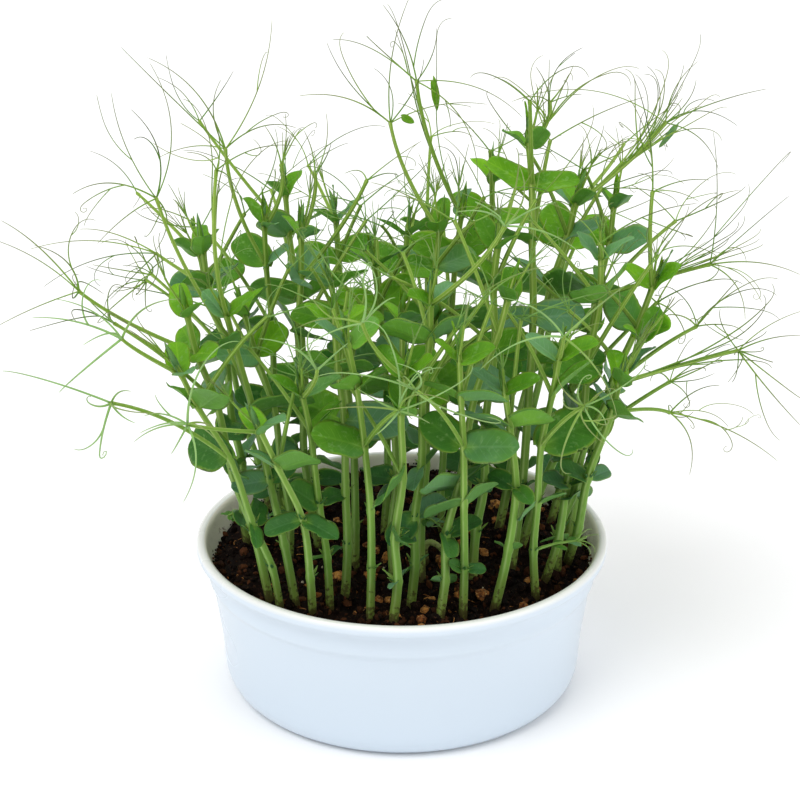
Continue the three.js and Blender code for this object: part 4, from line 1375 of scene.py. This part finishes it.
def soil(relief):
    skins = Skins()
    angles = [TURN * s / SOIL_CUTS for s in range(SOIL_CUTS)]
    rings = [[polar(radius, a, z) for a in angles] for radius, z in SOIL_SIDE]
    for k in range(SOIL_STEPS, 0, -1):
        rings.append([soil_point(k / SOIL_STEPS, a, relief) for a in angles])
    mark = (0, 0, SOIL_TONE)
    places = [[mark] * SOIL_CUTS] * len(rings)
    top, base = soil_point(0, 0, relief), (0, 0, SOIL_SIDE[0][1])
    skins.skin(rings, places, EARTH, (top, mark), (base, mark))
    return skins


# The corners and faces of a lump before it is scaled, turned and roughened.
GOLD = (1 + math.sqrt(5)) / 2
LUMP_CORNERS = [
    (-1, GOLD, 0), (1, GOLD, 0), (-1, -GOLD, 0), (1, -GOLD, 0), (0, -1, GOLD), (0, 1, GOLD),
    (0, -1, -GOLD), (0, 1, -GOLD), (GOLD, 0, -1), (GOLD, 0, 1), (-GOLD, 0, -1), (-GOLD, 0, 1),
]
LUMP_FACES = [
    (0, 11, 5), (0, 5, 1), (0, 1, 7), (0, 7, 10), (0, 10, 11), (1, 5, 9), (5, 11, 4),
    (11, 10, 2), (10, 7, 6), (7, 1, 8), (3, 9, 4), (3, 4, 2), (3, 2, 6), (3, 6, 8), (3, 8, 9),
    (4, 9, 5), (2, 4, 11), (6, 2, 10), (8, 6, 7), (9, 8, 1),
]
LUMP_SIZES = dict(stretch=[0.45, 1.4], tilt=[-0.9, 0.9])


def add_lump(skins, draw, centre, size, tone, slot, rough=0.3):
    """An angular lump with its longest axis turned at random."""
    stretch = [between(draw, *LUMP_SIZES["stretch"]) * size for _ in range(3)]
    tilt, turn = between(draw, *LUMP_SIZES["tilt"]), between(draw, 0, TURN)
    corners = []
    for corner in LUMP_CORNERS:
        pairs = zip(unit(corner), stretch)
        x, y, z = (a * b * between(draw, 1 - rough, 1 + rough) for a, b in pairs)
        y, z = y * math.cos(tilt) - z * math.sin(tilt), y * math.sin(tilt) + z * math.cos(tilt)
        x, y = x * math.cos(turn) - y * math.sin(turn), x * math.sin(turn) + y * math.cos(turn)
        corners.append(plus(centre, (x, y, z)))
    spots = skins.add(corners, [(0, 0, tone)] * len(corners))
    for face in LUMP_FACES:
        skins.face(tuple(spots[k] for k in face), slot, smooth=False)


# The soil's materials, by their slot on its mesh.
EARTH, BARK, GRAIN = 0, 1, 2
# What lies about on the soil: how many, their sizes, their material and how high they lie in
# parts of their size.
LITTER = [
    (3600, [0.3, 1.8], EARTH, 0.3),
    (130, [0.7, 2.1], BARK, 0.35),
    (22, [0.3, 0.8], GRAIN, 0.4),
]
LITTER_REACH = 0.985
LITTER_MARGIN = 0.7
FOOT_CRUMBS = 24
FOOT_SIZES = [0.4, 1.7]
FOOT_OFF = [0.15, 0.9]
FOOT_LIFT = 0.4
WALL_CRUMBS = 520
WALL_SIZES = [0.25, 1.2]
WALL_SINK = 0.3
# One crumb of this many lies anywhere round the wall, and the others in its patches.
WALL_LOOSE = 3
# Where soil clings to the wall: the compass angle, half the breadth in degrees and the height.
WALL_PATCHES = [(214, 28, 8), (190, 16, 5), (206, 20, 6), (350, 20, 5), (25, 16, 4)]
FIBRES = 90
FIBRE_RADIUS = 0.15
FIBRE_CUTS = 4
FIBRE_STEPS = 8
FIBRE_LIFT = 0.3
FIBRE_REACH = 0.95
FIBRE_SIZES = dict(
    elevation=[-4, 16], bend=[0, 70], curl=[0, 60], length=[2.5, 7], tone=[0.2, 1]
)
# The crumbs on the wall stay under this height.
WALL_TOP = 53.5
WALL_RISE = 0.6
RISE_POWER = 1.5


def crumb_size(draw, sizes):
    return between(draw, 0, 1) ** 2 * (sizes[1] - sizes[0]) + sizes[0]


def scatter(skins, relief, draw, kept_clear, count, sizes, slot, lift):
    """Lumps all over the soil, but not on the discs that are kept clear."""
    for _ in range(count):
        share, angle = math.sqrt(draw()) * LITTER_REACH, between(draw, 0, TURN)
        x, y, z = soil_point(share, angle, relief)
        size, tone = crumb_size(draw, sizes), draw()
        room = LITTER_MARGIN * size
        if any(math.hypot(x - a, y - b) < r + room for a, b, r in kept_clear):
            continue
        add_lump(skins, draw, (x, y, z + size * lift), size, tone, slot)


def bury_feet(skins, relief, draw, feet):
    """Crumbs heaped against the stems."""
    for foot in feet:
        for _ in range(FOOT_CRUMBS):
            angle, size = between(draw, 0, TURN), crumb_size(draw, FOOT_SIZES)
            reach = STEM_RADIUS + size * between(draw, *FOOT_OFF)
            x, y, _ = plus(foot, polar(reach, angle, 0))
            z = soil_height(x, y) + relief(x, y) + FOOT_LIFT * size
            add_lump(skins, draw, (x, y, z), size, draw(), EARTH)


def soil_the_wall(skins, relief, draw):
    """Crumbs that stick to the inside of the dish, in patches."""
    for k in range(WALL_CRUMBS):
        angle, size, rise = between(draw, 0, TURN), crumb_size(draw, WALL_SIZES), WALL_RISE
        if k % WALL_LOOSE:
            middle, breadth, height = WALL_PATCHES[k % len(WALL_PATCHES)]
            off = between(draw, -1, 1)
            angle, rise = rad(middle + breadth * off), height * (1 - off * off)
        foot = soil_point(1, angle, relief)[2]
        z = min(foot + between(draw, 0, 1) ** RISE_POWER * rise, WALL_TOP)
        spot = polar(wall_radius(z) - WALL_SINK * size, angle, z)
        add_lump(skins, draw, spot, size, draw(), EARTH)


def lay_fibres(skins, relief, draw):
    for _ in range(FIBRES):
        share, angle = math.sqrt(draw()) * FIBRE_REACH, between(draw, 0, TURN)
        start = plus(soil_point(share, angle, relief), UP, FIBRE_LIFT)
        ahead = heading(between(draw, 0, 360), between(draw, *FIBRE_SIZES["elevation"]))
        bend, curl, length, tone = pick(draw, FIBRE_SIZES, "bend", "curl", "length", "tone")
        points = curled(start, ahead, cross(UP, ahead), length, bend, curl, FIBRE_STEPS)
        tube(skins, points, [FIBRE_RADIUS] * len(points), FIBRE_CUTS, BARK, tone)


CHIP_DRAW = 9000
# A chip is a little larger and smoother than on the solid.
CHIP_GROWTH = 1.15
CHIP_LIFT = 0.4
CHIP_ROUGH = 0.22


def chip_spots(feet):
    """Where the chips of the solid model lie."""
    taken = list(feet)
    for seed in range(CHIP_TRIES):
        draw = random(CHIP_DRAW + seed)
        radius = CHIP_AREA_RADIUS * math.sqrt(draw())
        spot = polar(radius, TURN * draw(), SOIL_LEVEL)
        if all(math.dist(spot, other) >= CHIP_SPACING for other in taken):
            taken.append(spot)
        if len(taken) == len(feet) + CHIP_COUNT:
            break
    return taken[len(feet):]


def fill_soil(shoots):
    feet = [shoot["points"][1] for shoot in shoots]
    chips = chip_spots(feet)
    relief = soil_relief(feet)
    skins = soil(relief)
    draw = random(SOIL_DRAW)
    stems = [(x, y, STEM_RADIUS) for x, y, _ in feet]
    kept_clear = stems + [(x, y, CHIP_SIZE) for x, y, _ in chips]
    for litter in LITTER:
        scatter(skins, relief, draw, kept_clear, *litter)
    bury_feet(skins, relief, draw, feet)
    soil_the_wall(skins, relief, draw)
    lay_fibres(skins, relief, draw)
    for x, y, _ in chips:
        centre = (x, y, soil_height(x, y) + CHIP_LIFT)
        add_lump(skins, draw, centre, CHIP_SIZE * CHIP_GROWTH, draw(), BARK, CHIP_ROUGH)
    materials = [soil_material(), chip_material(), perlite_material()]
    return skins.piece("potting_soil", materials)


# A late pale seedling, still bent over from breaking through the soil.
SEEDLING = [
    (9, -7, 37), (8.7, -7, 46.5), (8.3, -7.1, 52), (9.9, -7.3, 54.6), (12.8, -7.7, 53.6),
    (15.6, -8.1, 51),
]
SEEDLING_CUTS = 12
SEEDLING_STEP = 0.8
SEEDLING_RADIUS = 1.25
# It is a little knobbly, and slimmer over its last part.
SEEDLING_KNOBS = 0.12
KNOB_BEAT = 5
SEEDLING_TAPER = 0.35
TAPER_FROM = 0.7
SEEDLING_TONE = 0.5


def seedling():
    skins = Skins()
    points, _ = smooth(SEEDLING, SEEDLING_STEP)
    last = len(points) - 1
    radii = []
    for k in range(last + 1):
        knob = SEEDLING_KNOBS * math.sin(KNOB_BEAT * k / last)
        radii.append(SEEDLING_RADIUS + knob - SEEDLING_TAPER * max(0, k / last - TAPER_FROM))
    tube(skins, points, radii, SEEDLING_CUTS, STEM, SEEDLING_TONE)
    pale = stem_material("seedling_pale", (0.42, 0.52, 0.20), (0.33, 0.47, 0.14))
    return skins.piece("late_seedling_bent", [pale])


# ---------------------------------------------------------------- materials


class Nodes:
    """A short way to write a node material."""

    def __init__(self, name):
        self.material = bpy.data.materials.new(name)
        self.material.use_nodes = True
        self.tree = self.material.node_tree
        self.shader = self.tree.nodes["Principled BSDF"]

    def node(self, kind, **settings):
        node = self.tree.nodes.new("ShaderNode" + kind)
        for name, value in settings.items():
            setattr(node, name, value)
        return node

    def link(self, value, socket):
        if isinstance(value, bpy.types.NodeSocket):
            self.tree.links.new(value, socket)
        else:
            socket.default_value = value

    def multiply(self, first, second, clamp=False):
        return self.math("MULTIPLY", first, second, clamp=clamp)

    def add(self, first, second):
        return self.math("ADD", first, second)

    def math(self, operation, *values, clamp=False):
        node = self.node("Math", operation=operation, use_clamp=clamp)
        for value, socket in zip(values, node.inputs):
            self.link(value, socket)
        return node.outputs[0]

    def spread(self, value, low, high, to_low=0.0, to_high=1.0):
        node = self.node("MapRange")
        for given, socket in zip((value, low, high, to_low, to_high), node.inputs):
            self.link(given, socket)
        return node.outputs[0]

    def blend(self, share, first, second, mode="MIX"):
        node = self.node("Mix", data_type="RGBA", blend_type=mode)
        self.link(share, node.inputs["Factor"])
        for value, name in ((first, "A"), (second, "B")):
            socket = next(s for s in node.inputs if s.name == name and s.type == "RGBA")
            self.link(value if isinstance(value, bpy.types.NodeSocket) else (*value, 1), socket)
        return next(s for s in node.outputs if s.type == "RGBA")

    def wash(self, first, second, value, low, high, most=1.0):
        """The first colour, with the second over it where the value goes from low to high."""
        return self.blend(self.spread(value, low, high, 0.0, most), first, second)

    def place(self):
        """A point's place on its piece: across it, along it, and the piece's tone."""
        attribute = self.node("Attribute", attribute_name="place")
        parts = self.node("SeparateXYZ")
        self.link(attribute.outputs["Vector"], parts.inputs[0])
        return parts.outputs

    def object_point(self, stretch=(1, 1, 1)):
        spot = self.node("TexCoord").outputs["Object"]
        mapping = self.node("Mapping")
        self.link(spot, mapping.inputs["Vector"])
        mapping.inputs["Scale"].default_value = stretch
        return mapping.outputs[0]

    def noise(self, scale, detail, rough=0.55, stretch=(1, 1, 1)):
        node = self.node("TexNoise")
        self.link(self.object_point(stretch), node.inputs["Vector"])
        node.inputs["Scale"].default_value = scale
        node.inputs["Detail"].default_value = detail
        node.inputs["Roughness"].default_value = rough
        return node.outputs[0]

    def spot(self):
        parts = self.node("SeparateXYZ")
        self.link(self.object_point(), parts.inputs[0])
        return parts.outputs

    def height(self):
        return self.spot()["Z"]

    def bump(self, height, strength, distance=0.001):
        node = self.node("Bump")
        node.inputs["Strength"].default_value = strength
        node.inputs["Distance"].default_value = distance
        self.link(height, node.inputs["Height"])
        self.link(node.outputs[0], self.shader.inputs["Normal"])

    def finish(self, colour, roughness, **sockets):
        self.link(colour, self.shader.inputs["Base Color"])
        self.link(roughness, self.shader.inputs["Roughness"])
        for name, value in sockets.items():
            self.shader.inputs[name.replace("_", " ")].default_value = value
        return self.material


def glaze_material(inside):
    m = Nodes("glaze_inside" if inside else "glaze_outside")
    clouds = m.noise(9.0, 3.0)
    crest = m.spread(m.height(), 0.0543, 0.0558)
    if not inside:
        height = m.add(m.height(), m.multiply(clouds, 0.02))
        # The glaze is painted darker towards the base: a painted shade on the lower body.
        body = m.wash((0.58, 0.675, 0.775), (0.69, 0.775, 0.865), height, 0.0, 0.08)
        colour = m.blend(crest, body, (0.86, 0.87, 0.84))
        return m.finish(colour, m.spread(clouds, 0.2, 0.8, 0.24, 0.34), Coat_Weight=0.25)
    smear = m.noise(55.0, 6.0, 0.65, (1, 1, 0.6))
    near = m.spread(m.height(), 0.0545, 0.047)
    dirt = m.multiply(m.spread(smear, 0.5, 0.66), near, clamp=True)
    grains = m.multiply(m.spread(m.noise(420.0, 2.0), 0.6, 0.7), near, clamp=True)
    dirt = m.math("MAXIMUM", dirt, grains)
    clean = m.wash((0.95, 0.90, 0.77), (0.98, 0.95, 0.85), clouds, 0.2, 0.8)
    colour = m.blend(dirt, clean, (0.16, 0.10, 0.06))
    m.bump(smear, 0.15)
    return m.finish(colour, m.spread(dirt, 0.0, 1.0, 0.35, 0.85))


def soil_material():
    m = Nodes("soil_dark")
    tone = m.place()[2]
    grain = m.noise(900.0, 5.0, 0.7)
    patch = m.noise(120.0, 4.0)
    dark = m.wash((0.003, 0.0015, 0.001), (0.011, 0.0048, 0.0028), patch, 0.35, 0.65)
    colour = m.wash(dark, (0.10, 0.034, 0.012), tone, 0.62, 1.0)
    colour = m.wash(colour, (0.19, 0.085, 0.04), grain, 0.58, 0.74, 0.75)
    m.bump(grain, 0.9)
    return m.finish(colour, m.spread(patch, 0.3, 0.7, 0.75, 0.98), Specular_IOR_Level=0.12)


def chip_material():
    m = Nodes("bark_chip")
    tone = m.place()[2]
    grain = m.noise(600.0, 5.0, 0.65)
    specks = m.noise(1100.0, 3.0)
    base = m.blend(tone, (0.24, 0.07, 0.012), (0.62, 0.28, 0.065))
    colour = m.wash(base, (0.06, 0.02, 0.009), grain, 0.42, 0.62)
    colour = m.wash(colour, (0.74, 0.46, 0.19), specks, 0.57, 0.68, 0.7)
    m.bump(grain, 0.9, 0.0009)
    return m.finish(colour, m.spread(grain, 0.3, 0.7, 0.7, 0.9), Specular_IOR_Level=0.2)


def perlite_material():
    m = Nodes("perlite_white")
    grain = m.noise(1200.0, 4.0, 0.6)
    colour = m.wash((0.66, 0.58, 0.44), (0.36, 0.28, 0.18), grain, 0.35, 0.7)
    m.bump(grain, 0.5, 0.0005)
    return m.finish(colour, m.spread(grain, 0.3, 0.7, 0.75, 0.9))


SOFT_GREEN = dict(
    Specular_IOR_Level=0.1,
    Subsurface_Weight=0.15,
    Subsurface_Radius=(0.5, 0.9, 0.15),
    Subsurface_Scale=0.002,
)


def stem_material(name, base, top):
    m = Nodes(name)
    ridge, _, tone = m.place()
    streaks = m.noise(900.0, 3.0, 0.5, (1, 1, 0.05))
    fine = m.noise(160.0, 3.0)
    _, y, z = m.spot()
    colour = m.wash(base, top, z, 0.06, 0.15)
    shade = m.blend(1.0, colour, (0.72, 0.82, 0.62), "MULTIPLY")
    colour = m.wash(colour, shade, tone, 0.0, 1.0, 0.7)
    # Pale bluish streaks along the ridges: partly waxy bloom, partly a painted highlight.
    pale = m.blend(1.0, colour, (2.0, 1.55, 3.0), "MULTIPLY")
    bloom_and_highlight_streaks = m.add(ridge, m.multiply(streaks, 1.6))
    colour = m.wash(colour, pale, bloom_and_highlight_streaks, 0.75, 1.9, 0.85)
    above = m.math("SUBTRACT", z, m.multiply(y, SOIL_SLOPE))
    low = m.add(above, m.multiply(fine, -0.008))
    colour = m.wash(colour, (0.21, 0.25, 0.05), low, 0.062, 0.044, 0.7)
    crumbs = m.add(low, m.multiply(m.noise(650.0, 3.0), -0.035))
    colour = m.wash(colour, (0.05, 0.026, 0.012), crumbs, 0.0315, 0.0285, 0.7)
    # Darkest brown just above the soil: partly soil stain, partly painted contact shade where the
    # stem goes into the soil.
    colour = m.wash(colour, (0.045, 0.03, 0.012), low, 0.0475, 0.0425, 0.85)
    m.bump(streaks, 0.3, 0.0005)
    return m.finish(colour, m.spread(fine, 0.3, 0.7, 0.4, 0.55), **SOFT_GREEN)


def leaf_material():
    m = Nodes("leaf_waxy")
    across, along, mark = m.place()
    under = m.spread(mark, -0.6, -0.9)
    tone = m.math("SUBTRACT", mark, m.multiply(under, UNDERSIDE))
    side = m.math("ABSOLUTE", across)
    slope = m.math("SUBTRACT", along, m.multiply(side, 0.3))
    wobble = m.multiply(m.noise(240.0, 2.0), 0.09)
    beat = m.multiply(m.add(slope, wobble), 7.5 * TURN)
    wave = m.math("SINE", beat)
    veins = m.multiply(m.spread(wave, 0.9, 1.0), m.spread(side, 0.9, 0.3), clamp=True)
    rib = m.spread(side, 0.1, 0.02)
    lines = m.math("MAXIMUM", veins, rib)
    patch = m.noise(95.0, 4.0)
    dark = m.wash((0.030, 0.125, 0.010), (0.055, 0.18, 0.014), patch, 0.35, 0.68)
    bright = m.wash((0.11, 0.315, 0.007), (0.185, 0.43, 0.016), patch, 0.35, 0.68)
    colour = m.wash(dark, bright, tone, 0.1, 0.95)
    flecks = m.spread(m.noise(520.0, 2.0), 0.57, 0.68, 0.0, 0.3)
    colour = m.blend(flecks, colour, (0.24, 0.42, 0.13))
    # Leaves low in the plant are painted a darker bluish green: painted shade under the leaves
    # above.
    low = m.spread(m.height(), 0.122, 0.088, 0.0, 0.65)
    colour = m.blend(low, colour, (0.030, 0.105, 0.036))
    colour = m.wash(colour, (0.24, 0.40, 0.085), tone, 1.05, 1.35)
    chance = m.math("FRACT", m.multiply(tone, 9.0))
    wax = m.add(chance, m.multiply(m.noise(40.0, 3.0), 0.3))
    colour = m.wash(colour, (0.12, 0.265, 0.14), wax, 0.8, 0.95, 0.75)
    near_root = m.spread(m.add(along, m.multiply(side, 0.25)), 0.3, 0.0, 0.0, 0.6)
    colour = m.blend(near_root, colour, (0.20, 0.40, 0.04))
    colour = m.wash(colour, (0.27, 0.43, 0.05), side, 0.84, 1.0, 0.5)
    pale = m.blend(1.0, colour, (1.7, 1.4, 1.9), "MULTIPLY")
    colour = m.blend(m.multiply(lines, 0.5), colour, pale)
    colour = m.blend(m.multiply(under, 0.45), colour, (0.14, 0.30, 0.075))
    m.bump(m.add(m.multiply(lines, -0.6), m.noise(700.0, 3.0)), 0.22, 0.0006)
    return m.finish(colour, m.spread(patch, 0.3, 0.7, 0.42, 0.6), **SOFT_GREEN)


def thread_material():
    m = Nodes("tendril_green")
    _, along, tone = m.place()
    fine = m.noise(120.0, 3.0)
    near = m.blend(tone, (0.12, 0.26, 0.035), (0.25, 0.40, 0.055))
    far = m.blend(tone, (0.075, 0.085, 0.038), (0.22, 0.25, 0.09))
    colour = m.wash(near, far, along, 0.08, 0.65)
    x, y, z = m.spot()
    out = m.math("SQRT", m.add(m.multiply(x, x), m.multiply(y, y)))
    inner, low = m.spread(out, 0.095, 0.06, 0.0, 0.85), m.spread(z, 0.2, 0.16)
    among_leaves = m.multiply(inner, low)
    colour = m.blend(among_leaves, colour, (0.20, 0.38, 0.10))
    colour = m.wash(colour, (0.28, 0.48, 0.18), tone, 1.0, 1.5, 0.8)
    shade = m.blend(1.0, colour, (0.66, 0.7, 0.6), "MULTIPLY")
    colour = m.wash(colour, shade, fine, 0.45, 0.7, 0.6)
    m.bump(fine, 0.1, 0.0003)
    return m.finish(colour, m.spread(fine, 0.3, 0.7, 0.4, 0.55), **SOFT_GREEN)


def floor_material():
    m = Nodes("pale_floor")
    clouds = m.noise(1.5, 3.0)
    colour = m.wash((0.95, 0.95, 0.95), (0.97, 0.97, 0.97), clouds, 0.2, 0.8)
    return m.finish(colour, m.spread(clouds, 0.3, 0.7, 0.6, 0.7))


# ---------------------------------------------------------------- the object


def ride(piece, slot, *nodes):
    """Every piece is part of the one body of the object."""
    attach(piece, "root")
    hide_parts(*nodes)


shoots, field = plan_shoots()
materials = [
    stem_material("stem_green", (0.172, 0.332, 0.062), (0.215, 0.352, 0.052)),
    leaf_material(),
    thread_material(),
]
ride(dish(), "dish", "dish")
ride(fill_soil(shoots), "soil", "soil")
ride(seedling(), "seedling", "late_seedling")
for shoot in shoots:
    skins = Skins()
    grow_stem(skins, shoot)
    grow_blades(skins, shoot)
    grow_scales(skins, shoot, field)
    grow_sprays(skins, shoot, field)
    grow_tip(skins, shoot)
    for index, node, azimuth, length, threads in SPRIGS:
        if index == shoot["index"]:
            grow_sprig(skins, shoot, field, node, azimuth, length, threads)
    node = f"shoot_{shoot['index'] + 1:02d}"
    ride(skins.piece(node + "_plant", materials), "shoots", node)

# ---------------------------------------------------------------- stage, light and camera

CAMERA_TARGET = (-0.7, 0, 107.2)
CAMERA_DISTANCE = 600
CAMERA_ELEVATION = 21.12
FOCAL_PIXELS = 1682.8
FRAME_PIXELS = 800
SENSOR = 36
# The scene is lit by a white world and three suns: the name, the compass angle, the height
# over the floor and the breadth of each in degrees, and its strength.
WORLD_STRENGTH = 0.7
SUNS = [("key", -135, 55, 36, 1.3), ("fill", -28, 32, 50, 0.6), ("back", 80, 50, 40, 0.4)]
SUN_DISTANCE = 1500
# The floor is in metres. It lies a hair under the dish.
FLOOR_HALF = 6
FLOOR_DROP = 0.0002


def aim(thing, spot, target):
    """Puts a camera or a light at a spot, turned towards its target."""
    thing.location = times(spot, MM)
    way = Vector(minus(target, spot))
    thing.rotation_euler = way.to_track_quat("-Z", "Y").to_euler()
    bpy.context.scene.collection.objects.link(thing)


def add_camera():
    data = bpy.data.cameras.new("camera")
    data.sensor_width = SENSOR
    data.lens = FOCAL_PIXELS / FRAME_PIXELS * SENSOR
    camera = bpy.data.objects.new("camera", data)
    back = times(heading(-90, CAMERA_ELEVATION), CAMERA_DISTANCE)
    aim(camera, plus(CAMERA_TARGET, back), CAMERA_TARGET)
    bpy.context.scene.camera = camera


def add_sun(name, azimuth, elevation, width, strength):
    """A broad even light from far off."""
    data = bpy.data.lights.new(name, "SUN")
    data.angle = rad(width)
    data.energy = strength
    spot = times(heading(azimuth, elevation), SUN_DISTANCE)
    aim(bpy.data.objects.new(name, data), spot, (0, 0, 0))


def add_floor():
    mesh = bpy.data.meshes.new("floor")
    signs = [(-1, -1), (1, -1), (1, 1), (-1, 1)]
    floor_corners = [(FLOOR_HALF * x, FLOOR_HALF * y, 0) for x, y in signs]
    mesh.from_pydata(floor_corners, [], [(0, 1, 2, 3)])
    mesh.materials.append(floor_material())
    floor = bpy.data.objects.new("floor", mesh)
    bpy.context.scene.collection.objects.link(floor)
    floor.location.z = -FLOOR_DROP


def add_world():
    world = bpy.data.worlds.new("world")
    bpy.context.scene.world = world
    world.use_nodes = True
    inputs = world.node_tree.nodes["Background"].inputs
    inputs["Color"].default_value = (1, 1, 1, 1)
    inputs["Strength"].default_value = WORLD_STRENGTH


add_camera()
add_floor()
add_world()
for sun in SUNS:
    add_sun(*sun)
bpy.context.scene.view_settings.view_transform = "Standard"
